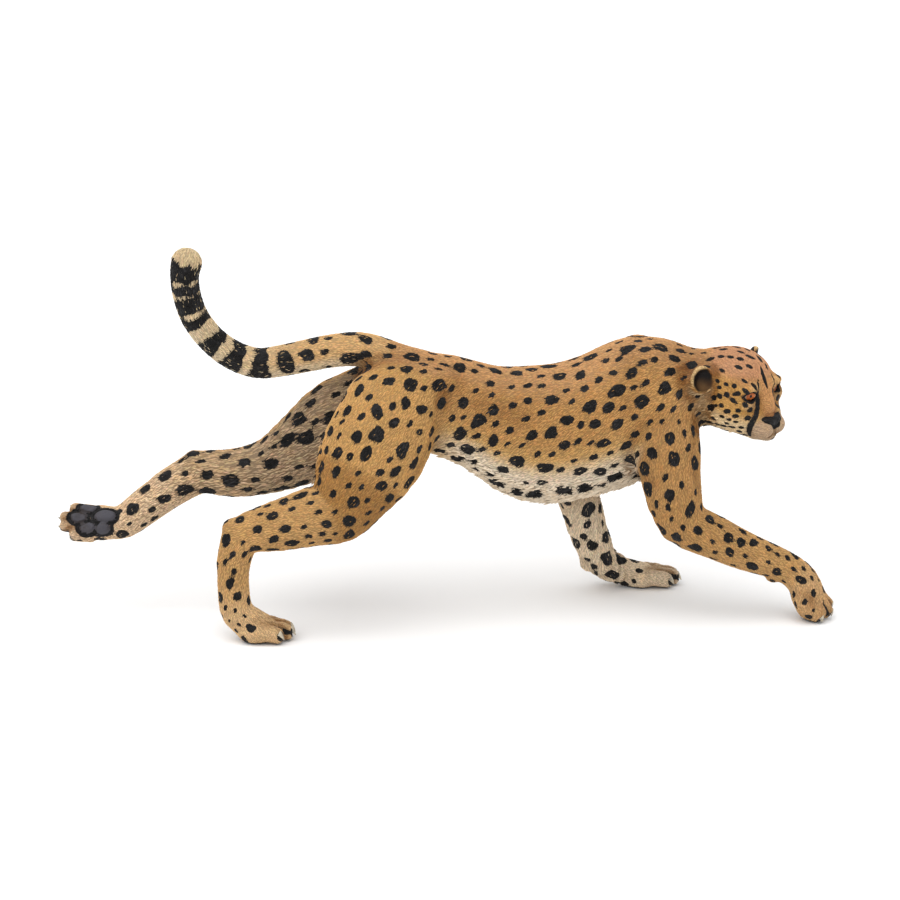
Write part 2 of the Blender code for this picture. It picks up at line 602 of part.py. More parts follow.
def part_body(skin, cutters, pieces):
    """Parts the whole skin into its named bodies."""
    made = {}
    lower = {}
    rest = skin
    for name, (centre, radii, axes, upper_seed, lower_seed) in LEG_BOWLS.items():
        bowl = (ellipsoid_shell, centre, radii, axes)
        rest, upper, lower[name] = part_with(rest, bowl, [BACK, upper_seed, lower_seed], cutters, pieces)
        made[name + ("_upper_arm" if name.startswith("fore") else "_thigh")] = upper
    for name, wrist in WRIST_SLICES.items():
        seeds = [LEGS[name]["joints"][4][:3], PAWS[name]["ball"]]
        made[name + "_forearm"], made[name + "_paw"] = part_with(
            lower[name], (disc, *wrist), seeds, cutters, pieces)
    for name, (hock, ankle) in HOCK_SLICES.items():
        joints, paw = LEGS[name]["joints"], PAWS[name]["ball"]
        made[name + "_shank"], foot = part_with(lower[name], (disc, *hock), [joints[4][:3], paw], cutters, pieces)
        made[name + "_hock"], made[name + "_paw"] = part_with(
            foot, (disc, *ankle), [joints[-3][:3], paw], cutters, pieces)
    nearer = "trunk"
    made["trunk"] = rest
    for name, (place, normal, radius) in TAIL_SLICES.items():
        inner, outer = (tuple(np.array(place) + side * ASIDE * np.array(normal)) for side in (1, -1))
        made[nearer], made[name] = part_with(
            made[nearer], (disc, place, normal, radius), [inner, outer], cutters, pieces)
        nearer = name
    made["trunk"], head = part_with(
        made["trunk"], (disc, *HEAD_SLICE), [BACK, from_head((8.0, 0.0, -3.0))], cutters, pieces)
    made["trunk"], made["neck"] = part_with(
        made["trunk"], (disc, *NECK_SLICE), [(15.0, 0.0, 40.0), (54.5, 4.0, 52.0)], cutters, pieces)
    for name, side in (("ear_left", 1), ("ear_right", -1)):
        mirror = np.diag([1.0, side, 1.0])
        bowl = (ellipsoid_shell, from_head(mirror @ np.array(EAR)), EAR_BOWL,
                HEAD_AXES @ mirror @ EAR_AXES @ mirror, SMALL_ROUNDS)
        seeds = [from_head((8.0, 0.0, -9.0)), from_head((EAR[0], side * (EAR[1] + 3.0), EAR[2]))]
        head, made[name] = part_with(head, bowl, seeds, cutters, pieces)
    bowl = (ellipsoid_shell, from_head(NOSE_BOWL[0]), NOSE_BOWL[1], HEAD_AXES, SMALL_ROUNDS)
    seeds = [from_head((-2.0, 0.0, 12.0)), from_head((8.0, 0.0, -4.9))]
    head, made["nose"] = part_with(head, bowl, seeds, cutters, pieces)
    for name, side in (("eye_left", 1), ("eye_right", -1)):
        centre = from_head((EYE[0], side * EYE[1], EYE[2]))
        head = part_with(head, (ball, centre, EYE_RADIUS + SOCKET_CLEAR), [centre], cutters, pieces)[0]
        bm = bmesh.new()
        ball(bm, centre, EYE_RADIUS)
        bmesh.ops.triangulate(bm, faces=bm.faces[:])
        mesh = bpy.data.meshes.new(name)
        bm.to_mesh(mesh)
        bm.free()
        made[name] = new_object(name, mesh, pieces)
    made["head"] = head
    return made


def ball(bm, centre, radius):
    turn = Matrix(HEAD_AXES.tolist()).to_4x4() @ Matrix.Rotation(math.radians(90), 4, "Y")
    bmesh.ops.create_uvsphere(bm, u_segments=12, v_segments=8, radius=radius,
                              matrix=Matrix.Translation(Vector(centre)) @ turn)


# ---------------------------------------------------------------- finish

FINISHES = {          # colour, roughness
    "coat": ((0.52, 0.30, 0.12), 0.55),
    "tail": ((0.60, 0.45, 0.26), 0.55),
    "nose": ((0.03, 0.03, 0.03), 0.45),
    "eye": ((0.50, 0.22, 0.08), 0.25),
}


def finish_for(name):
    for key in ("tail", "nose", "eye"):
        if name.startswith(key):
            return key
    return "coat"


def paint(name, material_cache):
    key = finish_for(name)
    if key not in material_cache:
        colour, rough = FINISHES[key]
        material = bpy.data.materials.new(key)
        material.use_nodes = True
        shader = material.node_tree.nodes["Principled BSDF"]
        shader.inputs["Base Color"].default_value = (*colour, 1.0)
        shader.inputs["Roughness"].default_value = rough
        shader.inputs["Metallic"].default_value = 0.0
        material_cache[key] = material
    return material_cache[key]


def to_metres(obj):
    """Moves a body from the joints' frame in millimetres to the part's frame in metres."""
    place = Matrix.Diagonal((MM, MM, MM, 1.0)) @ Matrix.Translation(Vector((-CENTRE[0], -CENTRE[1], 0.0)))
    obj.data.transform(place)


def build():
    for obj in list(bpy.data.objects):
        bpy.data.objects.remove(obj)
    pieces = bpy.data.collections.new("cheetah figurine")
    cutters = bpy.data.collections.new("cutters")
    for collection in (pieces, cutters):
        bpy.context.scene.collection.children.link(collection)
    skin = make_skin(pieces)
    flatten_soles(skin)
    made = part_body(skin, cutters, pieces)
    finishes = {}
    for name, obj in made.items():
        to_metres(obj)
        obj.name = name
        obj.data.name = name
        obj.data.materials.clear()
        obj.data.materials.append(paint(name, finishes))
    return made


PIECES = build()
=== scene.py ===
# A running cheetah figurine of moulded and painted plastic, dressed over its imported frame.
# Shapes are worked out in millimetres in the joints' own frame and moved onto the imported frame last.
import math
from types import SimpleNamespace

import bmesh
import bpy
import numpy as np
from mathutils import Matrix, Vector
from mathutils.kdtree import KDTree


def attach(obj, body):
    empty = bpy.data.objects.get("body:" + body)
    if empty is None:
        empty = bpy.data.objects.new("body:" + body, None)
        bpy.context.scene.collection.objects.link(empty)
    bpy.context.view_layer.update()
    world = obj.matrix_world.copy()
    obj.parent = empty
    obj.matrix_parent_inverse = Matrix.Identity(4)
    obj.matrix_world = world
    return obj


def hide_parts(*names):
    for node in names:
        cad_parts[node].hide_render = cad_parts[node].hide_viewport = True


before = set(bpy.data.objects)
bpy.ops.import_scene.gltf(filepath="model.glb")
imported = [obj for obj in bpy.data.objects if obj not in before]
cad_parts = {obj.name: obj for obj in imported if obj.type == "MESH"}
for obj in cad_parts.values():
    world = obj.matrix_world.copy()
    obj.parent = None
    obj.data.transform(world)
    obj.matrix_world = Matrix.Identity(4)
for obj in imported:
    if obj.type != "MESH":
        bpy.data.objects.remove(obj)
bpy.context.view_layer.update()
mm = 0.001
far = 1e3  # further than anything here
footCentre = np.array([-0.83, 1.56, 0.0])  # middle of the footprint in the joints' frame
sideways, upward = np.array([0.0, 1.0, 0.0]), np.array([0.0, 0.0, 1.0])
quarterTurn = Matrix.Rotation(math.radians(90), 3, "Y")


def lengths(v):
    return np.linalg.norm(v, axis=1)


def unit(v):
    v = np.asarray(v, float)
    return v / np.linalg.norm(v, axis=-1, keepdims=True)


def frameOf(forward, up):
    forward = unit(forward)
    left = unit(np.cross(up, forward))
    return np.stack([forward, left, np.cross(forward, left)], axis=1)


def smooth(x, low, high):
    t = np.clip((x - low) / (high - low), 0, 1)
    return t * t * (3 - 2 * t)


def about(x, middle, reach, full):
    # one near the middle, nothing beyond the reach
    return smooth(-np.abs(x - middle), -reach, -full)


def bell(x, width):
    return np.exp(-(x / width) ** 2)


def hermite(t, a, b, u, v, span=1):
    # a smooth curve from a to b with the slopes u and v
    return ((1 + 2 * t) * (1 - t) ** 2 * a + t * (1 - t) ** 2 * span * u
            + t * t * (3 - 2 * t) * b + t * t * (t - 1) * span * v)


# trunk, rump to chest: place along X, top, underside, half width, narrowing towards the belly
trunk = dict(
    ribs=np.array([
        (-21, 56.5, 49, 5.6, 0), (-15, 59.6, 43.5, 7.8, 0), (-8, 60.3, 39.5, 9, 0.05),
        (-3, 59.7, 37.2, 8.8, 0.1), (1.5, 59, 35.4, 8.2, 0.14), (5.5, 57.9, 32.9, 8, 0.18),
        (10, 56.7, 29.5, 8.5, 0.22), (17.5, 56.5, 26.4, 9.8, 0.24), (24, 57.1, 26.1, 10.6, 0.22),
        (29, 58.6, 26.9, 10.9, 0.2), (33.5, 60.6, 27.9, 10.9, 0.2), (38, 61.9, 29.2, 10.7, 0.2),
        (43, 62.2, 31, 10.3, 0.2), (49, 61.4, 33.4, 9.4, 0.15), (56, 60.2, 38.5, 8.2, 0.1)]),
    reach=(-19.5, 50.6),
    endFillet=5,
)
neck = dict(low=(42, 0, 50.8, 10.4), high=(56.5, -2.2, 51.9, 8.3), flat=0.84)
tail = [  # root to tip: place and radius
    (-8, 0, 56.2, 4.2), (-14, 0, 59.2, 3.9), (-19.5, 0.1, 60.9, 3.75), (-25.5, 0.5, 60.6, 3.6),
    (-31.5, 1, 59.4, 3.5), (-36.9, 1.5, 58.3, 3.4), (-41.8, 2, 57.8, 3.3), (-46.9, 2, 59.6, 3.2),
    (-51.4, 1.2, 63.3, 3.05), (-54.8, 0.1, 68.3, 3), (-56.4, -1, 73.6, 3), (-56.7, -2, 78, 3.05),
    (-56.2, -2.4, 80.7, 3.3)]
head = dict(
    place=np.array([66.7, -11, 52.9]),  # between the eyes
    yaw=-47, pitch=15, roll=4,
    ear=np.array([-9.7, 9.5, 0.8]), earRadii=(1.6, 2.3, 3.15),
    earAxes=frameOf((0.75, 0.62, 0.1), (-0.1, 0.1, 1)),
    eye=np.array([0.28, 4.75, 0.02]),  # middle of the opening between the lids
    eyeAxes=frameOf((0.9, 0.4, 0.1), (-0.12, 0, 1)),
    eyeRadii=(1.6, 2.7, 2.1), eyeSink=-0.06, eyeLong=1.55, eyeTall=0.84,
    eyeShift=np.array([0.22, -0.62, 0]),
)
headAxes = np.array(Matrix.Rotation(math.radians(head["yaw"]), 3, "Z")
                    @ Matrix.Rotation(math.radians(head["pitch"]), 3, "Y")
                    @ Matrix.Rotation(math.radians(head["roll"]), 3, "X"))

legs = dict(  # joints with radii, hip or shoulder first
    foreRight=dict(flat=0.8, joints=[
        (48, -7.8, 42.2, 5.8), (47.8, -10.2, 32, 6.3), (50.4, -10.2, 23.8, 5.3), (57.6, -9.9, 19.7, 4.8),
        (64.5, -9.3, 16.2, 4.25), (73.1, -8.6, 12.5, 3.55), (77.7, -8.4, 8.9, 3.6), (80, -9.4, 3.6, 3.7)]),
    foreLeft=dict(flat=0.8, joints=[
        (46, 7.5, 41.5, 6.5), (38, 9.3, 34.5, 6.3), (30.2, 11, 27.2, 5.2), (30.9, 12.5, 21.1, 4.6),
        (33.3, 14.3, 13.3, 4.3), (36.2, 15.8, 6.9, 3.75), (40.8, 16.5, 4, 3.2), (45.6, 17, 2.6, 3)]),
    hindRight=dict(flat=0.72, joints=[
        (-12.4, -6.5, 48.5, 10), (-16.8, -9.5, 41, 11.3), (-21.3, -11.6, 33.3, 8.7), (-24.6, -12.4, 28.4, 7),
        (-30, -12.5, 27.2, 6.5), (-37.5, -12.5, 25.2, 5.5), (-45, -13, 23.2, 4.1), (-47.4, -13.3, 17.5, 3.5),
        (-47.7, -14, 11.4, 3.4), (-46.8, -14.4, 6.2, 3.55), (-42.6, -14.5, 3, 3.5)]),
    hindLeft=dict(flat=0.72, joints=[
        (-12.6, 6, 47.5, 9.4), (-22.5, 8.2, 42.8, 10.4), (-30.8, 10, 37.2, 8.5), (-38.9, 11, 32.5, 6.4),
        (-47.6, 11, 30.6, 5.4), (-54.9, 11, 30.8, 4.6), (-61, 10.5, 28, 4.3), (-66.7, 10, 24.3, 4.15),
        (-72.3, 9.4, 20.4, 3.8), (-76.6, 9, 20.1, 3.7)]),
)
tailFrom = -13.0  # nothing in front of this is tail
paws = dict(
    foreRight=dict(ball=(79.8, -9.3, 4.4), toes=(0.9, 0.05, -0.4), sole=(-0.36, 0.51, -0.76),
                   long=5.4, wide=9.6, deep=2.3),
    foreLeft=dict(ball=(46.2, 17, 2.2), toes=(1, 0.09, 0), sole=(0, 0, -1),
                  long=8.6, wide=9.2, deep=2.45),
    hindRight=dict(ball=(-42.6, -14.5, 2.4), toes=(1, 0.02, 0), sole=(0, 0, -1),
                   long=7.6, wide=9.4, deep=2.6),
    hindLeft=dict(ball=(-78.2, 8.9, 20.3), toes=(-1, -0.05, 0.03), sole=(-0.05, -0.76, 0.65),
                  long=8.6, wide=9, deep=2.3),
)
toe = dict(radius=1.42, tall=1.3, groove=0.5, outerBack=2.2)
solePads = [  # middle and half sizes in the raised paw's own frame, seen from below
    (-1.6, 0.2, 2.4, 1.4), (-1.1, -2.5, 1.6, 1.05), (2.2, 2.6, 1.9, 1.05), (4.3, 0.5, 1.8, 1.3),
    (2.4, -2.1, 1.75, 1.2),
]
blade = frameOf((0.93, 0, 0.37), (-0.37, 0, 0.93))
muscles = [  # centre, radii, own axes
    ((44.5, -6.4, 51.5), (6, 4.6, 10.6), blade), ((44.5, 6.4, 51.5), (6, 4.6, 10.6), blade),
    ((-4.5, -6.6, 54.5), (4.5, 2.6, 3.4), None), ((-4.5, 6.6, 54.5), (4.5, 2.6, 3.4), None),
    ((46, -9.6, 39), (6.4, 4.2, 6.6), None), ((40.5, 9, 38), (7.5, 4.2, 6), None),
]
cords = [
    ((48.6, -10.4, 23.5, 2.6), (47.6, -10.5, 21.9, 1.7)),  # right elbow
    ((71.4, -8.6, 10.8, 1.5), (70.9, -8.6, 9.9, 1.1)),  # right wrist pad
    ((28.6, 11.2, 26.6, 2.4), (27.4, 11.2, 26, 1.8)),  # left elbow
    ((33.8, 15.8, 6.8, 1.7), (33, 15.8, 6, 1.3)),  # left wrist pad
    ((-38.5, -12.8, 28, 2.1), (-48, -13, 25.3, 1.3)),  # right heel
    ((-48, -13, 25.3, 1.3), (-48.9, -13.4, 17.5, 1.8)),
    ((-47.5, 11, 33.2, 2.2), (-56.7, 11, 34.2, 1.3)),  # left heel
    ((-56.7, 11, 34.2, 1.3), (-63.5, 10.4, 29, 1.9)),
    ((-17, -6.8, 51, 6), (-20.6, -8.8, 42, 6.6)),  # hamstrings
    ((-17, 6.8, 50, 6), (-26, 8.8, 41.5, 6)),
]
skinSettings = dict(voxel=0.7, secondVoxel=0.69, depth=0.07, nudge=0.02, fill=0.94, beadStep=0.35)


def finer(joints, steps=3):
    # a smooth curve through the joints, radii and all
    j = np.array(joints, float)
    slope = np.gradient(j, axis=0)
    made = [hermite(t, a, b, u, v) for a, b, u, v in zip(j, j[1:], slope, slope[1:])
            for t in np.linspace(0.0, 1.0, steps, endpoint=False)]
    return np.array(made + [j[-1]])


tailLine = finer(tail)
tailReach = tail + [(-55.4, -2.7, 84.4, 3.3)]  # one step past the tip, so that the paint finds the cap
for leg in legs.values():  # rounder towards the paw
    leg.update(line=finer(leg["joints"]), flats=leg["flat"] + 0.04 * np.minimum(np.arange(13) / 3, 4))


def inHead(p):
    # x forward from between the eyes, y left, z up
    return (p - head["place"]) @ headAxes


def fromHead(point):
    return head["place"] + headAxes @ np.asarray(point, float)


def onSide(side, point, axes):
    # a place and axes of the head's left half in the joints' frame, mirrored where side is -1
    flip = np.diag([1.0, side, 1.0])
    return fromHead(flip @ point), headAxes @ flip @ axes @ flip


def mirrored(q):
    return np.stack([q[:, 0], np.abs(q[:, 1]), q[:, 2]], axis=1)


def near(p, centre, reach):
    return lengths(p - np.asarray(centre, float)) < reach


# distance shapes
def blend(a, b, k):
    h = np.clip(k - np.abs(a - b), 0, None) / k
    return np.minimum(a, b) - h * h * k * 0.25


def carve(a, b, k):
    return -blend(-a, b, k)


def toLine(p, a, b):
    # the way to each point from the line between a and b, and how far along the line it is
    a, b = np.asarray(a[:3], float), np.asarray(b[:3], float)
    ab, pa = b - a, p - a
    t = np.clip(pa @ ab / (ab @ ab), 0, 1)
    return pa - t[:, None] * ab, t


def bone(p, a, b, flat=1, side=sideways):
    # between two places, with radii where they have any, squeezed along the side
    off, t = toLine(p, a, b)
    ra, rb = (*a, 0)[3], (*b, 0)[3]
    if flat != 1:
        off = off + np.outer(off @ side, side) * (1 / flat - 1)
    return lengths(off) - (ra + (rb - ra) * t)


def oval(p, centre, radii, axes=None):
    q = p - np.asarray(centre, float)
    if axes is not None:
        q = q @ axes
    radii = np.asarray(radii, float)
    k0 = lengths(q / radii)
    return k0 * (k0 - 1) / (lengths(q / radii ** 2) + 1e-9)


def trace(p, points, flats=(1,)):
    # distance to a line drawn through points, less its half width there
    d = np.full(len(p), far)
    for n, (a, b) in enumerate(zip(points, points[1:])):
        d = np.minimum(d, bone(p, a, b, flats[min(n, len(flats) - 1)]))
    return d


def curveThrough(x, table, column):
    xs, ys = table[:, 0], table[:, column]
    slope = np.gradient(ys, xs)
    i = np.clip(np.searchsorted(xs, x) - 1, 0, len(xs) - 2)
    span = xs[i + 1] - xs[i]
    return hermite(np.clip((x - xs[i]) / span, 0, 1), ys[i], ys[i + 1], slope[i], slope[i + 1], span)


def trunkSection(x):
    ribs = trunk["ribs"]
    x = np.clip(x, ribs[0, 0], ribs[-1, 0])
    top, low, wide, narrow = (curveThrough(x, ribs, c) for c in (1, 2, 3, 4))
    return (top + low) / 2, (top - low) / 2, wide, narrow


def trunkField(p):
    mid, high, wide, narrow = trunkSection(p[:, 0])
    up = p[:, 2] - mid
    wide = wide * (1 + narrow * np.clip(up / high, -1, 1))
    k0 = np.sqrt((p[:, 1] / wide) ** 2 + (up / high) ** 2)
    k1 = np.sqrt((p[:, 1] / wide ** 2) ** 2 + (up / high ** 2) ** 2) + 1e-9
    ends = np.maximum(trunk["reach"][0] - p[:, 0], p[:, 0] - trunk["reach"][1])
    return -blend(-k0 * (k0 - 1) / k1, -ends, trunk["endFillet"])


def eyePlace(left):
    # middle of the opening between the lids; the left eye sits a little nearer the nose
    return head["eye"] + np.multiply.outer(left, head["eyeShift"])


def almond(q):
    # across the eye: how far outside the lids' opening, and the eye's own axes out, along and up
    e = (mirrored(q) - eyePlace(q[:, 1] > 0)) @ head["eyeAxes"]
    return np.abs(e[:, 2]) - head["eyeTall"] * (1 - (e[:, 1] / head["eyeLong"]) ** 2), e


def earOval(m, more=0):
    return oval(m, head["ear"], np.add(head["earRadii"], more), head["earAxes"])


def earHollow(m):
    # distance to the ear's cup, and the ear's own axes out, back and up
    e = (m - head["ear"]) @ head["earAxes"]
    return oval(e, (1.4, -0.7, -0.05), (1.9, 2.5, 2.85)), e


# the head's shapes: kind, how softly it joins, and its places with radii or its centre and radii
skull = [
    (oval, 1, (-7.4, 0, 0.2), (8, 7.4, 6.3)),  # cranium
    (bone, 2.5, (-4.8, 0, 0.4, 4.9), (0.2, 0, -2.6, 3)),  # forehead
    (oval, 2.5, (-3.9, 4.5, -3.9), (5.2, 3.8, 4.3)),  # cheek
    (bone, 1.5, (-4, 3.6, -5.2, 4), (0.8, 2.9, -5.7, 2.8)),  # side of the muzzle
    (bone, 2, (-6.5, 3.4, -7.1, 3.6), (1.5, 1.8, -8.5, 2)),  # jaw
    (bone, 1, (-1.8, 0, -0.4, 2.9), (1.7, 0, -4, 1.9)),  # bridge of the nose
    (oval, 0.8, (2.9, 2.1, -7), (2.9, 2.7, 2.3)),  # whisker pad
    (oval, 0.8, (3, 0, -9), (2.4, 2.5, 1.4)),  # chin
    (oval, 1.8, (-1.3, 4.6, 0.6), (2, 2.3, 1.6)),  # brow
    (oval, 1.4, (-0.8, 5.4, -1.7), (2.1, 1.9, 1.6)),  # cheekbone
    (oval, 0.4, (3.5, 0, -5.8), (1.5, 2.5, 1.6)),  # nose
]
mouth = [(5.1, 0, -7.9), (5, 1, -8.45), (4, 2.5, -8.75), (2.6, 3.6, -8.5), (0.6, 4.6, -7.7),
         (-1.2, 5.3, -6.9)]
philtrum = [(5.3, 0, -6.6), (5.5, 0, -8)]
faceFurrows = [(mouth, 0.3, 0.24), (philtrum, 0.26, 0.22),  # with depths and reaches
               ([(0.9, 2.9, -0.6), (1.6, 3, -1.8), (2.2, 4, -3.4)], 0.16, 0.6)]  # beside the nose


def headField(q, fine=True):
    m = mirrored(q)
    d = np.full(len(q), far)
    for shape, soft, *numbers in skull:
        d = blend(d, shape(m, *numbers), soft)
    eyeSide = m - np.multiply.outer(q[:, 1] > 0, head["eyeShift"])
    d = carve(d, oval(eyeSide, (1.1, 5, 0.1), (0.9, 1.3, 0.8)), 0.5)  # eye hollow
    lids, e = almond(q)
    d = carve(d, oval(e, (1.8, 1.35, 0), (1.5, 1.5, 1.05)), 0.5)  # its outer corner
    d = blend(d, oval(m, (-10.6, 7.4, -0.4), (2.2, 1.9, 3)), 1.5)  # root of the ear
    d = blend(d, carve(earOval(m), earHollow(m)[0], 0.4), 0.8)
    if not fine:
        return d
    front = np.abs(e[:, 0]) < 2.2
    d = d - np.where(front, 0.24 * bell(lids - 0.26, 0.2) * about(e[:, 1], 0, 2.2, 1.6), 0.0)
    deep = np.maximum(d + 0.34, e[:, 0] + 0.45)  # opening between the lids
    d = d + np.where(front, (deep - d) * smooth(-lids, -0.14, 0.2), 0.0)
    d = d - 0.3 * bell(oval(m, (0.2, 4.9, 1.75), (0.5, 1.6, 0.25)).clip(0), 0.5)  # upper lid fold
    for points, deep, wide in faceFurrows:
        d = d + deep * bell(trace(m, points), wide)
    return d


def pawAxes(name):
    return frameOf(paws[name]["toes"], -unit(paws[name]["sole"]))


def inPaw(p, name):
    return (p - np.asarray(paws[name]["ball"])) @ pawAxes(name)


def toesOf(name):
    # each toe's knuckle and tip, and where its claw comes out
    paw = paws[name]
    for i, y in enumerate(np.linspace(-1.0, 1.0, 4) * (paw["wide"] / 2 - toe["radius"])):
        outer = i in (0, 3)
        lead = paw["long"] - toe["radius"] - (toe["outerBack"] if outer else 0)
        tip = np.array((lead, y, -0.3))
        root = tip + (toe["radius"] * (0.68 if outer else 0.88), 0.85 * np.sign(y) * outer, 0.05)
        yield np.array((lead - 3.4, y * 0.94, 0.5)), tip, root


def toeGaps(q, name):
    # how much each point lies in the furrows between the toes
    tips = [tip for knuckle, tip, root in toesOf(name)]
    amount = np.zeros(len(q))
    for a, b in zip(tips, tips[1:]):
        middle = (a + b) / 2
        furrow = bell(q[:, 1] - middle[1], 0.36) * smooth(q[:, 0], middle[0] - 3.4, middle[0] - 0.4)
        amount = np.maximum(amount, furrow * smooth(q[:, 2], -1.2, -0.2))
    return amount


def padOutline(q):
    flat = q * (1, 1, 0)
    return np.min([oval(flat, (x, y, 0), (long, wide, 1)) for x, y, long, wide in solePads], axis=0)


def pawField(p, name, fine=True):
    q, paw, thick = inPaw(p, name), paws[name], toe["radius"]
    d = oval(q, (-0.4, 0, 0), (4.2, paw["wide"] * 0.46, paw["deep"] * 1.12))
    for knuckle, tip, root in toesOf(name):
        d = blend(d, bone(q, (*knuckle, thick * 1.06), (*tip, thick), toe["tall"], upward), toe["groove"])
        if fine:
            d = d - 0.22 * bell(lengths(q - (tip + (-0.9, 0, 1.7))), 0.9)  # knuckle
            d = d + 0.25 * bell(lengths(q - root), 0.6)  # claw sheath
    return d + 0.34 * toeGaps(q, name) if fine else d


joins = dict(neck=4, tail=2.2, leg=3.2, muscle=3, cord=1.6, paw=1, head=2.4)  # how softly each joins


def bodyField(p, fine=True):
    # each part is worked out only near it
    d = blend(trunkField(p), bone(p, neck["low"], neck["high"], neck["flat"]), joins["neck"])

    def join(kind, mask, shape, *numbers):
        d[mask] = blend(d[mask], shape(p[mask], *numbers), joins[kind])

    join("tail", p[:, 0] < tail[0][0] + 8, trace, tailLine)
    for leg in legs.values():
        places = np.array(leg["joints"])[:, :3]
        mask = np.all((p > places.min(0) - 14) & (p < places.max(0) + 14), axis=1)
        join("leg", mask, trace, leg["line"], leg["flats"])
    for centre, radii, axes in muscles:
        join("muscle", near(p, centre, max(radii) + 8), oval, centre, radii, axes)
    for a, b in cords:
        join("cord", near(p, a[:3], np.linalg.norm(np.subtract(b[:3], a[:3])) + 8), bone, a, b)
    if fine:
        for points, deep, wide in creases:
            mask = near(p, points[len(points) // 2], 22)
            d[mask] += deep * bell(trace(p[mask], points), wide)
        # lumps in the long coat under the belly
        mid, high = trunkSection(p[:, 0])[:2]
        lumps = np.sin(2.3 * p[:, 0] + 1.4 * np.sin(1.1 * p[:, 0]) + 1.9 * p[:, 1])
        d -= 0.26 * lumps * smooth(-(p[:, 2] - mid) / high, 0.62, 0.92) * about(p[:, 0], 22, 24, 18)
    for name, paw in paws.items():
        mask = near(p, paw["ball"], 16)
        join("paw", mask, pawField, name, fine)
        if name == "hindLeft":
            q = inPaw(p[mask], name)
            pad = padOutline(q)
            swell = 0.6 * smooth(-pad, -0.25, 0.5) - 0.2 * bell(pad - 0.35, 0.3)
            d[mask] -= swell * smooth(-q[:, 2], 0.8, 1.4)
    join("head", near(p, fromHead((-4, 0, -2)), 26), lambda here: headField(inHead(here), fine))
    return d


# hollows between the muscles: points with a zero width, depth (raised where negative) and reach
creases = [
    ([(53.5, -8.6, 46), (50.8, -12, 40), (53.2, -13.6, 31)], 0.45, 1.5),  # front of the right shoulder
    ([(37, -12, 50), (39, -13.6, 41), (42, -14.6, 33)], 0.55, 1.8),  # behind the right shoulder
    ([(37, 12, 50), (33, 12.6, 42)], 0.5, 1.8),
    ([(-2, -9.5, 53), (-3.5, -11.5, 44), (-9, -13.5, 36)], 0.5, 1.8),  # front of the right thigh
    ([(-2, 9.5, 53), (-5.5, 11, 46), (-13, 12.5, 39)], 0.5, 1.8),
    ([(-14, -14.5, 47), (-21, -16.5, 37)], 0.35, 2),  # down the right thigh
    ([(-18, 13.5, 47), (-28, 15.5, 40)], 0.35, 2),
    ([(-40, -16.5, 26.8), (-47.3, -15.5, 22)], 0.35, 1),  # right heel cord
    ([(-49, 13, 32.8), (-59, 13, 31)], 0.35, 1),
    ([(-49, 9, 32.8), (-59, 8.6, 31)], 0.35, 1),
    ([(54, -14, 22.6), (66, -12.8, 15.8)], 0.3, 1),  # right forearm
    ([(6, -9, 50), (14, -9.5, 47)], 0.4, 3),  # flank
    ([(6, 9, 50), (14, 9.5, 47)], 0.4, 3),
]
headBeads = [
    ((-7.2, 0, 0.9), (8, 7.3, 6.6)), ((-3, 0, -3.8), (6.5, 7, 5.5)), ((1.6, 0, -6.2), (3.6, 4.4, 3.6)),
    ((-1, 5, -0.4), (1.8, 2.2, 2.6)), ((-1, -5, -0.4), (1.8, 2.2, 2.6)),
]


def opened(mesh):
    bm = bmesh.new()
    bm.from_mesh(mesh)
    bm.verts.ensure_lookup_table()
    return bm


def closed(bm, mesh):
    # into a mesh, or a new one of that name
    mesh = bpy.data.meshes.new(mesh) if isinstance(mesh, str) else mesh
    bm.to_mesh(mesh)
    bm.free()
    return mesh


def sphere(name, around, down, turned=False):
    bm = bmesh.new()
    bmesh.ops.create_uvsphere(bm, u_segments=around, v_segments=down, radius=1.0)
    if turned:
        bmesh.ops.rotate(bm, verts=bm.verts, cent=(0, 0, 0), matrix=quarterTurn)
    return closed(bm, name)


def newObject(name, mesh):
    obj = bpy.data.objects.new(name, mesh)
    bpy.context.scene.collection.objects.link(obj)
    return obj


def read(things, field, width=3, kind=float):
    flat = np.empty(len(things) * width, dtype=kind)
    things.foreach_get(field, flat)
    return flat.reshape(-1, width)


def meshPoints(mesh):
    return read(mesh.vertices, "co")


def setPoints(mesh, points):
    mesh.vertices.foreach_set("co", np.ascontiguousarray(points, dtype=float).ravel())
    mesh.update()


def bead(centre, radii, axes=np.eye(3)):
    turn = Matrix(np.asarray(axes).tolist())
    return Matrix.Translation(Vector(centre)) @ turn.to_4x4() @ Matrix.Diagonal((*radii, 1.0))


def beadsAlong(joints, flat=1):
    places = []
    for a, b in zip(joints, joints[1:]):
        a, b = np.array(a), np.array(b)
        count = math.ceil(np.linalg.norm(b[:3] - a[:3]) / (skinSettings["beadStep"] * min(a[3], b[3])))
        for t in np.linspace(0.0, 1.0, max(2, count)):
            *centre, r = a + (b - a) * t
            r *= skinSettings["fill"]
            places.append(bead(centre, (r, r * flat, r)))
    return places


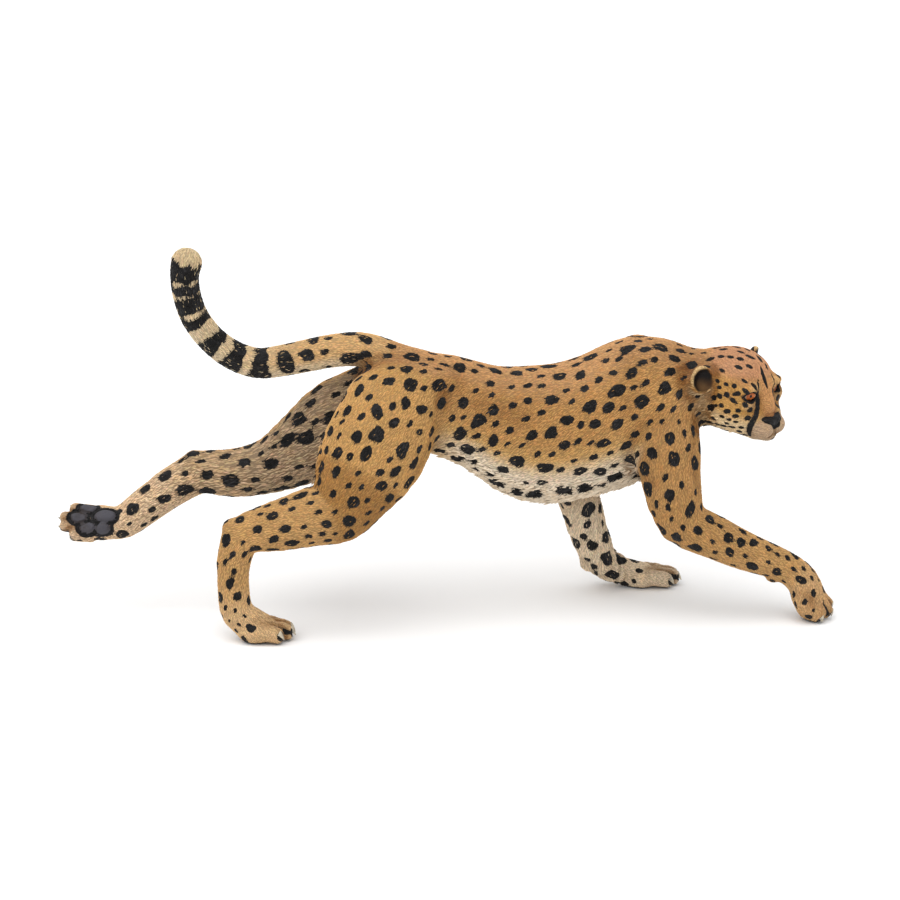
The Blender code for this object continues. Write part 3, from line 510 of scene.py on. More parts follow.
def roughBody():
    # balls that nearly fill the animal, to be fused by the first remesh
    places = []
    for x in np.arange(trunk["reach"][0] + 3, trunk["reach"][1] - 1, 2):
        mid, high, wide = (float(v[0]) for v in trunkSection(np.array([x]))[:3])
        places.append(bead((x, 0, mid), (4, wide * 0.88, high * 0.96)))
    places += beadsAlong([neck["low"], neck["high"]], neck["flat"]) + beadsAlong(tail)
    for name, leg in legs.items():
        places += beadsAlong(leg["joints"], leg["flat"])
        paw, axes = paws[name], pawAxes(name)
        middle = np.array(paw["ball"]) + axes[:, 0] * 0.6
        places.append(bead(middle, (paw["long"] * 0.92, paw["wide"] * 0.46, paw["deep"]), axes))
        for knuckle, tip, root in toesOf(name):
            ends = [np.array(paw["ball"]) + axes @ end for end in (knuckle, tip)]
            places += beadsAlong([(*end, toe["radius"]) for end in ends])
    for centre, radii, axes in muscles:
        places.append(bead(centre, np.array(radii) * 0.92, np.eye(3) if axes is None else axes))
    for a, b in cords:
        places += beadsAlong([a, b])
    places += [bead(fromHead(centre), radii, headAxes) for centre, radii in headBeads]
    for side in (1, -1):
        centre, axes = onSide(side, head["ear"], head["earAxes"])
        places.append(bead(centre, head["earRadii"], axes))
    ball = sphere("ball", 16, 10)
    bm = bmesh.new()
    for place in places:
        copy = ball.copy()
        copy.transform(place)
        bm.from_mesh(copy)
        bpy.data.meshes.remove(copy)
    return closed(bm, "rough")


def fused(mesh, voxel):
    obj = newObject("fusing", mesh)
    remesh = obj.modifiers.new("fuse", "REMESH")
    remesh.mode = "VOXEL"
    remesh.voxel_size = voxel
    bpy.context.view_layer.update()
    made = bpy.data.meshes.new_from_object(obj.evaluated_get(bpy.context.evaluated_depsgraph_get()))
    bpy.data.objects.remove(obj)
    return made


def settle(points, steps, depth=0, fine=True):
    # moves points onto the body's surface, or to a depth under it
    nudge = skinSettings["nudge"]
    for _ in range(steps):
        d = bodyField(points, fine) + depth
        slope = [bodyField(points + nudge * axis, fine) - (d - depth) for axis in np.eye(3)]
        slope = np.stack(slope, axis=1) / nudge
        size = np.clip((slope * slope).sum(axis=1), 0.25, None)
        points = points - np.clip(d / size, -1.2, 1.2)[:, None] * slope
    return points


def relax(mesh, rounds, factor, chosen=None):
    bm = opened(mesh)
    verts = bm.verts if chosen is None else [bm.verts[i] for i in np.flatnonzero(chosen)]
    for _ in range(rounds):
        bmesh.ops.smooth_vert(bm, verts=verts, factor=factor,
                              use_axis_x=True, use_axis_y=True, use_axis_z=True)
    closed(bm, mesh)


def subdivided(mesh, chosen):
    # halves the edges between chosen points
    bm = opened(mesh)
    picked = set(np.flatnonzero(chosen).tolist())
    edges = [e for e in bm.edges if e.verts[0].index in picked and e.verts[1].index in picked]
    bmesh.ops.subdivide_edges(bm, edges=edges, cuts=1, use_grid_fill=True)
    bmesh.ops.triangulate(bm, faces=[f for f in bm.faces if len(f.verts) > 4])
    closed(bm, mesh)


def refined(mesh, centre, reach, pawReach):
    # smaller faces within reach of a place in the head, and of each paw
    def chosen():
        p = meshPoints(mesh)
        inPaws = [near(p, paw["ball"], pawReach) for paw in paws.values()]
        return np.any([near(inHead(p), centre, reach), *inPaws], axis=0)

    subdivided(mesh, chosen())
    moving = chosen()
    for _ in range(2):
        relax(mesh, 1, 0.4, moving)
        p = meshPoints(mesh)
        p[moving] = settle(p[moving], 3, skinSettings["depth"])
        setPoints(mesh, p)


def makeSkin():
    s = skinSettings
    mesh = fused(roughBody(), s["voxel"])
    relax(mesh, 3, 0.5)
    setPoints(mesh, settle(meshPoints(mesh), 6, fine=False))
    mesh = fused(mesh, s["secondVoxel"])
    relax(mesh, 1, 0.3)
    setPoints(mesh, settle(meshPoints(mesh), 3, s["depth"]))
    print("skin fused:", len(mesh.polygons), "faces")
    refined(mesh, (-2.5, 0, -2.5), 15, 8.5)
    refined(mesh, (1.2, 0, -3.6), 9.5, 0)
    # flat soles
    bm = opened(mesh)
    everything = bm.verts[:] + bm.edges[:] + bm.faces[:]
    bmesh.ops.bisect_plane(bm, geom=everything, plane_co=(0, 0, 0.02), plane_no=(0, 0, 1), clear_inner=True)
    bmesh.ops.holes_fill(bm, edges=[e for e in bm.edges if e.is_boundary], sides=0)
    bmesh.ops.triangulate(bm, faces=[f for f in bm.faces if len(f.verts) > 4])
    bmesh.ops.recalc_face_normals(bm, faces=bm.faces)
    closed(bm, mesh).shade_smooth()
    return newObject("coat_skin", mesh)


def unwrap(obj):
    # charts of the skin's own shape, laid side by side
    obj.data.uv_layers.new(name="OFBake")
    bpy.context.view_layer.objects.active = obj
    obj.select_set(True)
    bpy.ops.object.mode_set(mode="EDIT")
    bpy.ops.mesh.select_all(action="SELECT")
    bpy.ops.uv.smart_project(angle_limit=math.radians(66), island_margin=0.002)
    bpy.ops.object.mode_set(mode="OBJECT")
    obj.select_set(False)


skin = makeSkin()
unwrap(skin)

# the skin's triangles, its normals and its map, for laying the coat and the paint
mesh = skin.data
mesh.calc_loop_triangles()
skinPoints, pointNormals = meshPoints(mesh), read(mesh.vertices, "normal")
tris = read(mesh.loop_triangles, "vertices", kind=np.int64)
triUv = read(mesh.uv_layers["OFBake"].data, "uv", 2)[read(mesh.loop_triangles, "loops", kind=np.int64)]
triCorners = skinPoints[tris]
triArea = lengths(np.cross(triCorners[:, 1] - triCorners[:, 0], triCorners[:, 2] - triCorners[:, 0])) / 2
print("skin settled and unwrapped:", len(tris), "triangles")


def lineNear(p, line):
    # distance to a limb, how far along it in millimetres, its direction there, and its whole length
    line = np.asarray(line, float)
    best, along, heading = np.full(len(p), far), np.zeros(len(p)), np.zeros((len(p), 3))
    done = 0
    for a, b in zip(line, line[1:]):
        off, t = toLine(p, a, b)
        length = np.linalg.norm(b[:3] - a[:3])
        d = lengths(off) - (a[3] + (b[3] - a[3]) * t)
        closer = d < best
        best[closer], along[closer] = d[closer], done + t[closer] * length
        heading[closer] = (b - a)[:3] / length
        done += length
    return best, along, heading, done


borders = dict(head=(-0.6, 1.2), tail=(-0.3, 1.2), leg=(-1, 2))  # how the parts run into each other


def regions(p):
    # what part of the animal each point is on
    x, n = p[:, 0], len(p)
    r = SimpleNamespace(q=inHead(p), leg=np.full(n, -1), along=np.zeros(n))
    m = r.m = mirrored(r.q)
    headGap = headField(r.q, False)
    bodyGap = np.minimum(trunkField(p), bone(p, neck["low"], neck["high"]))
    r.head = smooth(bodyGap - headGap, *borders["head"])
    tailGap, r.tailAlong, tailHeading = lineNear(p, tailReach)[:3]
    best, lie, weight = np.full(n, far), np.zeros((n, 3)), np.zeros(n)

    def pulls(gap, heading, soft):
        w = np.exp(-np.clip(gap, 0, 30) / soft)
        lie[:] += w[:, None] * heading
        weight[:] += w

    mid, high = trunkSection(x)[:2]
    r.height = (p[:, 2] - mid) / high
    back = -np.ones(n)
    pulls(bodyGap, np.stack([back, np.zeros(n), -0.75 * about(r.height, 0.1, 1.0, 0.2)], axis=1), 1.2)
    pulls(np.where(x < tailFrom, tailGap, 30.0), tailHeading, 0.8)
    away = np.stack([back, 0.25 * np.sign(r.q[:, 1]), np.where(m[:, 2] < -3.0, -0.35, 0.25)], axis=1)
    pulls(headGap, away @ headAxes.T, 0.8)
    for i, name in enumerate(legs):
        gap, along, heading, total = lineNear(p, legs[name]["joints"])
        gap = np.minimum(gap, lengths(p - np.array(paws[name]["ball"])) - 4.5)
        ownSide = p[:, 1] < 0 if name.endswith("Right") else p[:, 1] > 0
        gap = np.where(ownSide, gap, gap + 6.0)
        pulls(gap, heading + np.array([-0.25, 0.0, 0.0]), 1.0)
        closer = gap < best
        best[closer], r.leg[closer], r.along[closer] = gap[closer], i, (along / total)[closer]
    r.tail = smooth(np.minimum(bodyGap, best + 0.6) - tailGap, *borders["tail"]) * (x < tailFrom)
    r.share = smooth(bodyGap - best, *borders["leg"]) * (1 - r.head) * (1 - r.tail)
    r.lie = lie / weight[:, None]
    return r


def flatLie(r, normal):
    # the lie of the coat, along the skin
    return unit(r.lie - normal * (r.lie * normal).sum(axis=1, keepdims=True) + 1e-6)


def over(base, top, amount):
    return base + (np.asarray(top) - base) * np.clip(amount, 0, 1)[:, None]


def brushed(first, *layers):
    # tints laid over one another, each with its amount
    c = np.tile(tints[first], (len(layers[0][1]), 1))
    for name, amount in layers:
        c = over(c, tints[name], amount)
    return c


def paint(p, normals):
    # the brushed colours, where black ink goes (below zero), and how deep the brown wash and the painted
    # shade in hollows lie
    r = regions(p)
    q, m, height, along, leg, share = r.q, r.m, r.height, r.along, r.leg, r.share
    n, x, up = len(p), p[:, 0], normals[:, 2]
    inner = smooth(-normals[:, 1] * np.where(p[:, 1] < 0, -1.0, 1.0), -0.15, 0.45)
    # the back tint is the toy's back colour, laid by how much the skin faces up, so it is also painted light
    # on upward faces
    c = brushed(
        "flank", ("back", smooth(up, 0.25, 0.85)), ("lowFlank", smooth(-height, -0.1, 0.55)),
        ("belly", smooth(-height, 0.2, 0.66) * smooth(x, -10, 6)),
        ("chest", smooth(x, 46, 52) * smooth(-up, -0.3, 0.5) * (1 - r.head)))
    legColour = brushed(
        "leg", ("thigh", smooth(-along, -0.45, -0.15) * (leg > 1)),
        # a darker band low on the near thigh: painted shade
        ("thighLowShade", about(along, 0.3, 0.14, 0.03) * (leg == 2)),
        ("leg", smooth(along, 0.4, 0.7)), ("upperArm", smooth(-along, -0.85, -0.2) * (leg == 0)),
        ("paw", smooth(along, 0.8, 0.95)), ("forePaw", smooth(along, 0.8, 0.95) * (leg == 0)),
        ("innerLeg", inner * np.where(along > 0.9, 0.5, 1.0)),
        ("paleLeg", 0.75 * smooth(along, 0.4, 0.55) * (leg == 1)),
        ("shankLeft", 0.8 * smooth(along, 0.45, 0.6) * (leg == 3) * inner),
        ("metaLeft", 0.9 * smooth(along, 0.66, 0.8) * (leg == 3) * inner))
    tailColour = brushed(
        "tailRoot", ("tailPale", smooth(r.tailAlong, 20, 46)), ("tailTip", smooth(r.tailAlong, 62, 66)),
        ("tailUnder", 0.8 * smooth(-up, 0, 0.7)))

    def patch(centre, radii, low, high):
        return smooth(-oval(m, centre, radii), low, high)

    headColour = brushed(
        "cheek", ("crown", smooth(q[:, 2], 1, 4.2)), ("jaw", smooth(-q[:, 2], 3.2, 7.5)),
        ("throat", smooth(-q[:, 2], 8, 10.5)),
        ("bridge", smooth(-trace(m, [(0.6, 0, 0.6, 2.4), (3.4, 0, -3.8, 2.2)]), -0.8, 0.8)),
        ("muzzle", patch((3.2, 2.6, -7.2), (3.4, 3, 2.7), -0.5, 0.7)),
        ("chin", patch((3, 0, -9.6), (3, 3.4, 1.5), -0.6, 0.6)),
        ("brow", 0.55 * patch((0.6, 3.6, 1.6), (1.6, 1.5, 1.1), -0.7, 0.5)),
        ("underEye", 0.75 * patch((1, 4.9, -1.8), (2, 2, 0.9), -0.6, 0.4)))
    hollow, e = earHollow(m)
    onEar = smooth(-earOval(m, 0.35), -0.15, 0.15) * (m[:, 1] > 7.6)
    cup = smooth(-hollow, -0.34, -0.1) * smooth(e[:, 0], -1.3, -0.6)
    earColour = brushed(
        "earRim", ("cheek", np.maximum(smooth(-e[:, 1], 0.6, 1.7), smooth(-e[:, 2], 0.9, 2.2))),
        ("crown", smooth(-e[:, 0], 0.1, 0.7)),
        ("earCup", cup * smooth(e[:, 1], -3, -2) * about(e[:, 2], -0.1, 3, 2.3)))
    headColour = over(headColour, earColour, onEar)
    for colour, amount in ((legColour, share), (tailColour, r.tail), (headColour, r.head)):
        c = over(c, colour, amount)
    # ink
    ink = np.full(n, inkFar)
    for centre, half in rings:
        ragged = 0.26 * np.sin(2.3 * p[:, 1] + centre) + 0.2 * np.sin(3.1 * p[:, 2] - 1.9 * x + 2 * centre)
        ring = np.abs(r.tailAlong + ragged - centre) - half
        ink = np.where(r.tail > 0.5, np.minimum(ink, ring), ink)
    lids, eye = almond(q)
    rightFace = q[:, 1] < 0
    tall, long = np.where(rightFace, 1.30, 1.0), np.where(rightFace, 2.3, 1.95)
    liner = np.abs(eye[:, 2] + 0.05) - tall * (1 - (eye[:, 1] / long) ** 2)
    faceInk = np.where(np.abs(eye[:, 0]) < 2.5, liner * 0.8, inkFar)
    for side, here in (("right", rightFace), ("left", ~rightFace)):
        for points in faceLines[side]:
            faceInk = np.where(here, np.minimum(faceInk, trace(m, points)), faceInk)
    wings = m - np.stack([0 * m[:, 1], 0 * m[:, 1], noseWings(m)], axis=1)
    earInk = np.maximum(np.abs(np.hypot(e[:, 1] / 2.3, e[:, 2] / 3.1) - 0.95) * 2.6 - 0.5,
                        np.maximum(e[:, 0] + 0.35, 0.9 - e[:, 2]))
    faceInk = np.min([faceInk, trace(m, mouth) - 0.1, trace(m, philtrum) - 0.26,
                      oval(wings, (3.7, 0, -5.3), (1.8, 3.25, 0.95)),
                      oval(m, (4.6, 0, -5.9), (1.5, 1.7, 1.25)),
                      np.where(onEar > 0.3, earInk, inkFar)], axis=0)
    ink = np.where(r.head > 0.3, np.minimum(ink, faceInk), ink)
    tree = KDTree(n)
    for i, point in enumerate(p):
        tree.insert(point, i)
    tree.balance()
    for centre, a, b, lobes in spots:
        found = tree.find_range(Vector(centre), spotSettings["find"])
        ids = np.array([f[1] for f in found], dtype=int)
        off = p[ids] - centre
        for shift, la, lb in lobes:
            u, v = (off @ a - shift[0]) / la, (off @ b - shift[1]) / lb
            ink[ids] = np.minimum(ink[ids], (np.sqrt(u * u + v * v) - 1) * min(la, lb))
    ink = ink * (1 + 1.2 * smooth(r.head, 0.2, 0.8) + 0.8 * r.tail)
    # brown wash and painted shade, deeper where the surface is more hollow about each point
    openness = bodyField(p + normals * washAndShadeReach, False) / washAndShadeReach
    washAndShade = smooth(1 - openness, 0, 0.44)
    # painted shade on the inner sides of the hind thighs
    washAndShade = np.maximum(washAndShade, 0.22 * inner * share * (leg > 1) * smooth(-along, -0.75, -0.3))
    r.under = smooth(-height, 0.45, 0.9) * (1 - share) * (1 - r.head) * (1 - r.tail)
    r.inside = inner * share * (leg == 3)
    for name, paw in paws.items():
        at, close = inPaw(p, name), near(p, paw["ball"], 10)
        if name == "hindLeft":
            sole, pad = close & (at[:, 2] < -0.8), padOutline(at)
            c = over(c, tints["pad"], smooth(-pad, -0.6, -0.4) * sole)
            ink = np.where(sole, np.where(pad < 0.0, 1.0, np.minimum(ink, pad - 0.85)), ink)
        else:
            # black within half a millimetre of the floor along each standing paw: painted contact shadow
            ink = np.where(close, np.minimum(ink, p[:, 2] - 0.5), ink)
        furrows = toeGaps(at, name) * close
        # brown wash and painted shade in the furrows between the toes
        washAndShade = np.maximum(washAndShade, 0.7 * furrows)
        claw = np.full(n, inkFar)
        for knuckle, tip, root in toesOf(name):
            claw = np.minimum(claw, lengths(at - root) - (0.7 if name == "hindLeft" else 1.12))
            claw = np.where(at[:, 0] > tip[0] - 0.4, np.minimum(claw, 0.72 - furrows), claw)
        ink = np.where(close, np.minimum(ink, claw), ink)
    return c, ink, washAndShade, r


def tint(r, g, b):
    # in linear light
    return [((v / 255 + 0.055) / 1.055) ** 2.4 if v > 10 else v / 255 / 12.92 for v in (r, g, b)]


tints = {name: tint(*rgb) for name, rgb in dict(
    back=(184, 140, 94), flank=(178, 134, 80), lowFlank=(202, 165, 105), belly=(214, 199, 177),
    chest=(196, 172, 134), leg=(184, 144, 92), thigh=(186, 144, 88), thighLowShade=(156, 114, 63),
    upperArm=(170, 129, 79), paw=(204, 170, 126), forePaw=(190, 152, 106), innerLeg=(178, 154, 124),
    paleLeg=(228, 209, 181), shankLeft=(192, 164, 128), metaLeft=(210, 182, 149),
    tailRoot=(196, 158, 108), tailPale=(204, 182, 146), tailTip=(196, 174, 138), tailUnder=(206, 188, 158),
    cheek=(190, 144, 80), crown=(189, 139, 101), jaw=(226, 200, 158), throat=(204, 184, 152),
    bridge=(194, 143, 92), muzzle=(178, 150, 121), chin=(188, 164, 136), brow=(210, 172, 122),
    underEye=(208, 172, 124), earRim=(214, 180, 128), earCup=(22, 17, 15), pad=(96, 96, 106)).items()}
# the second number: how far out the brown wash and painted shade look for a hollow
inkFar, washAndShadeReach = 3.0, 2.0  # well away from any ink, and how far out the wash looks
rings = [(64, 1.8), (60.2, 0.98), (56.4, 1.65), (52.4, 1.1), (46.2, 1.55), (40.4, 1.9), (34.3, 1.85)]
faceLines = dict(  # points with half widths, in the head's frame with y outwards
    right=[
        [(0.9, 3.2, 0.2, 0.5), (1.2, 2.95, -0.9, 0.56), (1.84, 3.24, -2.4, 0.54), (2.45, 4.2, -3.8, 0.54),
         (2.52, 4.93, -4.8, 0.58), (2.26, 5.25, -6.1, 0.62), (1.97, 4.8, -7.9, 0.56), (1.9, 3.9, -9.2, 0.3)],
        [(0.9, 3.1, 0.5, 0.34), (0.36, 2.75, 1.98, 0.28), (-0.22, 2.2, 3, 0.2)],
        [(-1.6, 0.1, 5, 0.3), (-0.6, 0.2, 4, 0.78), (0.3, 0.3, 2.9, 0.74), (1.2, 0.28, 1.4, 0.24)],
        [(-1.3, 7.1, 0.6, 0.52), (-2.5, 7.5, -0.1, 0.46)], [(-0.9, 7.1, -1.4, 0.42), (-1.2, 7.3, -1.9, 0.3)],
    ],
    left=[
        [(1.2, 2, 0.3, 0.46), (1.9, 1.45, -0.7, 0.36), (2.3, 1.8, -1.8, 0.34), (2.5, 3.3, -3.4, 0.34),
         (2.52, 4.8, -4.8, 0.4), (2.26, 5.25, -6.1, 0.46), (1.97, 4.8, -7.9, 0.4), (1.9, 3.9, -9.2, 0.2)],
        [(0.6, 2.8, 1.1, 0.32), (0.1, 2.9, 2.2, 0.28), (-0.7, 3, 3.1, 0.18)],
        [(-1.3, 7.1, 0.6, 0.52), (-2.5, 7.5, -0.1, 0.46)],
    ],
)
spotSettings = dict(tries=50000, spacing=3.7, small=0.22, large=(1.18, 1.74), little=(0.66, 0.95), clear=0.35,
                    apart=1.22, find=4.2, lobeFar=(0.42, 0.66), lobe=(0.4, 0.56))
eggs = [  # the tall spots on the tail: middle, along the tail, half sizes
    ((-35.6, -2.1, 58.6), (-0.98, 0.09, -0.2), (1.7, 2.7)),
    ((-35.6, 4.9, 58.6), (-0.98, 0.09, -0.2), (1.6, 2.3)),
]
noseSettings = dict(centre=(3.7, 0, -5.6), radii=(1.38, 3.05, 1.12), wings=0.55,
                    ridge=[(4.9, 0.9, -5.4), (4.2, 2.3, -5.1)],
                    nostril=[(4.9, 0.95, -6.1), (4.1, 2.25, -5.3)])


def noseWings(m):
    # how much the nose rises towards its sides
    return noseSettings["wings"] * (m[:, 1] / noseSettings["radii"][1]) ** 2


def scatter(density, rng):
    # evenly strewn roots on the skin: their places, normals and places on the map
    share = np.cumsum(triArea * density)
    count = int(share[-1])
    marks = (np.arange(count) + rng.random(count)) * (share[-1] / max(1, count))
    chosen = np.clip(np.searchsorted(share, marks), 0, len(tris) - 1)
    u, v = rng.random(len(chosen)), rng.random(len(chosen))
    flip = u + v > 1
    u[flip], v[flip] = 1 - u[flip], 1 - v[flip]
    bary = np.stack([1 - u - v, u, v], axis=1)[:, :, None]
    place, normal, uv = ((corners[chosen] * bary).sum(axis=1)
                         for corners in (triCorners, pointNormals[tris], triUv))
    return place, unit(normal), uv


def baldPlaces(place, r):
    # where no spot is sown
    m, onHead = r.m, r.head > 0.3
    bald = oval(m, (3, 2, -6.5), (3.6, 4.4, 4.4)) < 0
    bald |= trace(m, [(0.6, 0, 1.2, 2.6), (3.4, 0, -3.8, 2.4)]) < 0
    bald |= (almond(r.q)[0] < 1.5) & near(m, head["eye"], 3.4)
    bald |= earOval(m, 0.9) < 0
    bald |= (r.tail > 0.4) & (r.tailAlong > 31)
    bald |= (r.height < -0.86) & (r.share < 0.3) & (r.tail < 0.3) & (r.head < 0.3)
    for points in faceLines["right"]:
        bald |= (trace(m, points) < 0.7) & onHead
    for name, paw in paws.items():
        at, close = inPaw(place, name), near(place, paw["ball"], 9.5)
        if name == "hindLeft":
            bald |= close & (at[:, 2] < -0.2) & (at[:, 0] > -4)
        else:
            ahead = paw["long"] - 3.6 if name == "foreRight" else -1.5
            bald |= close & ((at[:, 2] < -1.4) | (at[:, 0] > ahead))
    return bald


def sowSpots():
    s, rng = spotSettings, np.random.default_rng(5)
    place, normal = scatter(np.full(len(tris), s["tries"] / triArea.sum()), rng)[:2]
    order = rng.permutation(len(place))
    place, normal = place[order], normal[order]
    r = regions(place)
    bald, lie = baldPlaces(place, r), flatLie(r, normal)
    legShare, inside = r.share * smooth(r.along, 0.15, 0.5), r.share * smooth(-normal[:, 1], 0, 0.4)
    nape = smooth(place[:, 0], 44, 50) * smooth(place[:, 2], 40, 46)
    low = smooth(r.along, 0.8, 0.95) * r.share
    spacing = (s["spacing"] - (0.65 * legShare - 0.25 * r.tail)
               + 1.3 * inside * (r.leg == 3) * smooth(-r.along, -0.75, -0.6)
               + 0.5 * (r.leg == 1) * r.share - 0.6 * nape - 0.5 * low)
    size = (1 + (0.12 * r.tail - 0.14 * legShare) + 0.22 * inside * ((r.leg == 1) | (r.leg == 3))
            - 0.25 * nape - 0.26 * low)
    onHead, crown = r.head > 0.5, r.q[:, 2] > 1.5
    spacing = np.where(onHead, np.where(crown, 2.35, 1.66), spacing)
    size = np.where(onHead, np.where(crown, 0.46, 0.41), size)
    sown = [(np.array(middle), unit(np.array(along)), upward, [((0.0, 0.0), *half)])
            for middle, along, half in eggs]
    kept = np.array([egg[0] for egg in sown])
    reach = np.full(len(kept), 2.2)
    for i in np.flatnonzero(~bald):
        little = rng.random() < s["small"] and not onHead[i]
        gap = spacing[i] * (0.78 if little else 1) * rng.uniform(0.84, 1.08)
        radius = rng.uniform(*s["little" if little else "large"]) * size[i]
        gap = np.maximum(gap, 0 if onHead[i] else s["apart"] * (radius + reach) + s["clear"])
        if (lengths(kept - place[i]) < gap).any():
            continue
        kept, reach = np.vstack([kept, place[i]]), np.append(reach, radius)
        turn = rng.normal(0, 0.2 if onHead[i] else 0.5)
        a = lie[i] * math.cos(turn) + np.cross(normal[i], lie[i]) * math.sin(turn)
        plain = little or onHead[i]
        stretch = rng.uniform(1.5, 2.3) if onHead[i] and crown[i] else rng.uniform(1.05, 1.5)
        core = radius * (1 if plain else 0.88)
        lobes = [((0, 0), core * math.sqrt(stretch), core / math.sqrt(stretch))]
        for k in range(0 if plain else rng.integers(2, 5)):
            angle = rng.uniform(0, 2 * math.pi)
            out, small = radius * rng.uniform(*s["lobeFar"]), radius * rng.uniform(*s["lobe"])
            lobes.append(((out * math.cos(angle) * 1.2, out * math.sin(angle)), small * 1.2, small))
        sown.append((place[i], a, np.cross(normal[i], a), lobes))
    return sown


spots = sowSpots()
print("spots sown:", len(spots))


def addNumbers(mesh, name, values):
    layer = mesh.attributes.new(name, "FLOAT", "POINT")
    layer.data.foreach_set("value", np.ascontiguousarray(values, dtype=np.float32))


def addPaint(mesh, colour, ink, washAndShade, tone):
    layer = mesh.attributes.new("paint", "FLOAT_COLOR", "POINT")
    rgba = np.ones((len(colour), 4), dtype=np.float32)
    rgba[:, :3] = np.clip(colour, 0, 1)
    layer.data.foreach_set("color", rgba.ravel())
    for name, values in (("ink", ink), ("washAndShade", washAndShade), ("tone", tone)):
        addNumbers(mesh, name, values)


skinColour, skinInk, skinWashAndShade, skinParts = paint(skinPoints, pointNormals)
# painted shade under the belly and on the far hind leg's inner side, over the brown wash
deeper = np.maximum(skinWashAndShade, 0.6 * skinParts.under + 0.5 * skinParts.inside)
# the skin between the strokes is made darker: painted shade in the grooves between the strokes
addPaint(mesh, skinColour, skinInk, deeper, np.full(len(skinPoints), -0.36))
print("skin painted")

# a stroke of the coat: a root, two sides, a raised crest and a tip, closed underneath
stroke = dict(root=(-0.42, 0, -0.35), tip=(0.62, 0, 0.3), left=(0.05, 0.5, -0.25), right=(0.05, -0.5, -0.25),
              crest=(0.18, 0, 1))


def strokeShape():
    bm = bmesh.new()
    bmesh.ops.create_cone(bm, cap_ends=True, segments=4, radius1=1.0, radius2=0.0, depth=1.0)
    bmesh.ops.triangulate(bm, faces=bm.faces[:])
    for v in bm.verts:
        x, y, z = (round(c, 3) for c in v.co)
        end = "tip" if x > 0.5 else "root" if x < -0.5 else "left" if y > 0 else "right"
        v.co = stroke["crest" if z > 0 else end]
    return bm


def lockShape():
    # a longer tuft: four-sided, two rings and a point that bends down
    bm = bmesh.new()
    bmesh.ops.create_cone(bm, cap_ends=True, segments=4, radius1=0.5, radius2=0.0, depth=1.0)
    bmesh.ops.rotate(bm, verts=bm.verts, cent=(0, 0, 0), matrix=quarterTurn)
    edges = [e for e in bm.edges if abs(e.verts[0].co.x - e.verts[1].co.x) > 0.5]
    bmesh.ops.subdivide_edges(bm, edges=edges, cuts=2)
    for v in bm.verts:
        t = v.co.x + 0.5
        v.co.y *= 1 - 0.45 * t + 0.9 * t * (1 - t) if t < 0.99 else 1
        v.co.z = v.co.z * (0.8 if v.co.z < 0 else 1.6) + 0.5 * t * (1.2 - t)
        v.co.x = t - 0.25
    bmesh.ops.triangulate(bm, faces=bm.faces[:])
    return bm


def template(bm):
    bmesh.ops.recalc_face_normals(bm, faces=bm.faces)
    points = np.array([v.co[:] for v in bm.verts])
    bm.verts.index_update()
    faces = np.array([[v.index for v in f.verts] for f in bm.faces])
    bm.free()
    return points, faces


bakePatch = 0.0028  # each stroke's width on the map


def coatPiece(name, shape, place, along, normal, size, uv, colour, ink, washAndShade, tone):
    # one joined mesh of many like strokes
    # size is each one's length, width and height, and ink is what it has at its root and at its tip
    points, faces = shape
    count, k = len(place), len(points)
    axes = (along, np.cross(normal, along), normal)
    p = place[:, None, :] + sum((points[None, :, i] * size[:, i:i + 1])[:, :, None] * axis[:, None, :]
                                for i, axis in enumerate(axes))
    loops = (faces[None] + (np.arange(count) * k)[:, None, None]).reshape(-1)
    made = bpy.data.meshes.new(name)
    made.vertices.add(count * k)
    made.loops.add(len(loops))
    made.polygons.add(len(loops) // 3)
    made.vertices.foreach_set("co", p.reshape(-1))
    made.loops.foreach_set("vertex_index", loops)
    made.polygons.foreach_set("loop_start", np.arange(0, len(loops), 3))
    made.update(calc_edges=True)
    made.shade_flat()
    patch = points[:, :2] - points[:, :2].mean(axis=0)
    patch = bakePatch * patch / np.abs(patch).max() / 2
    spread = (uv[:, None, :] + patch[None]).reshape(-1, 2)
    made.uv_layers.new(name="OFBake").data.foreach_set("uv", spread[loops].ravel())
    reach = np.clip((points[:, 0] - points[:, 0].min()) / np.ptp(points[:, 0]), 0, 1)
    lift = np.clip(points[:, 2], 0, 1)
    ink = ink[:, :1] + (ink[:, 1:] - ink[:, :1]) * reach[None]
    # each stroke lighter towards its raised crest and darker at its foot: dry-brushed paint, and painted
    # light on the crests
    tone = tone[:, None] + 0.34 * lift[None] - 0.12
    addPaint(made, np.repeat(colour, k, axis=0), ink.ravel(), np.repeat(washAndShade, k), tone.ravel())
    return newObject(name, made)


coatKinds = dict(  # length, width, height, and how much of the skin the strokes hide
    body=(1.25, 0.29, 0.105, 0.85), head=(0.66, 0.16, 0.045, 0.7), paw=(0.75, 0.2, 0.065, 0.7),
    leg=(1.1, 0.26, 0.095, 0.85), inner=(1.9, 0.42, 0.18, 0.9), belly=(1.9, 0.4, 0.17, 0.95))
coatPieces = ("coat_head", "coat_tail", "coat_forelegs", "coat_hind_leg_right", "coat_hind_leg_left",
              "coat_shoulders", "coat_flanks")
coatSettings = dict(
    perPiece=32000, quickShare=0.25, turn=0.16, vary=(0.75, 1.25),
    bare=0.1, bareInside=-0.38, bareSize=(0.9, 0.55, 1),  # strokes left unpainted in the spots
)


def coatSizes(r, normal):
    # the length, width, height and cover of a stroke at each place
    size = np.tile(coatKinds["body"], (len(normal), 1))
    inner = smooth(-normal[:, 1] * np.where(r.leg % 2 == 0, -1.0, 1.0), 0.0, 0.5)
    for kind, amount in (
            ("belly", smooth(-r.height, 0.55, 0.9)), ("leg", r.share),
            ("inner", inner * r.share * (r.leg == 3) * smooth(-r.along, -0.85, -0.6)),
            ("paw", r.share * smooth(r.along, 0.84, 0.95)), ("head", r.head)):
        size = over(size, coatKinds[kind], amount)
    return size


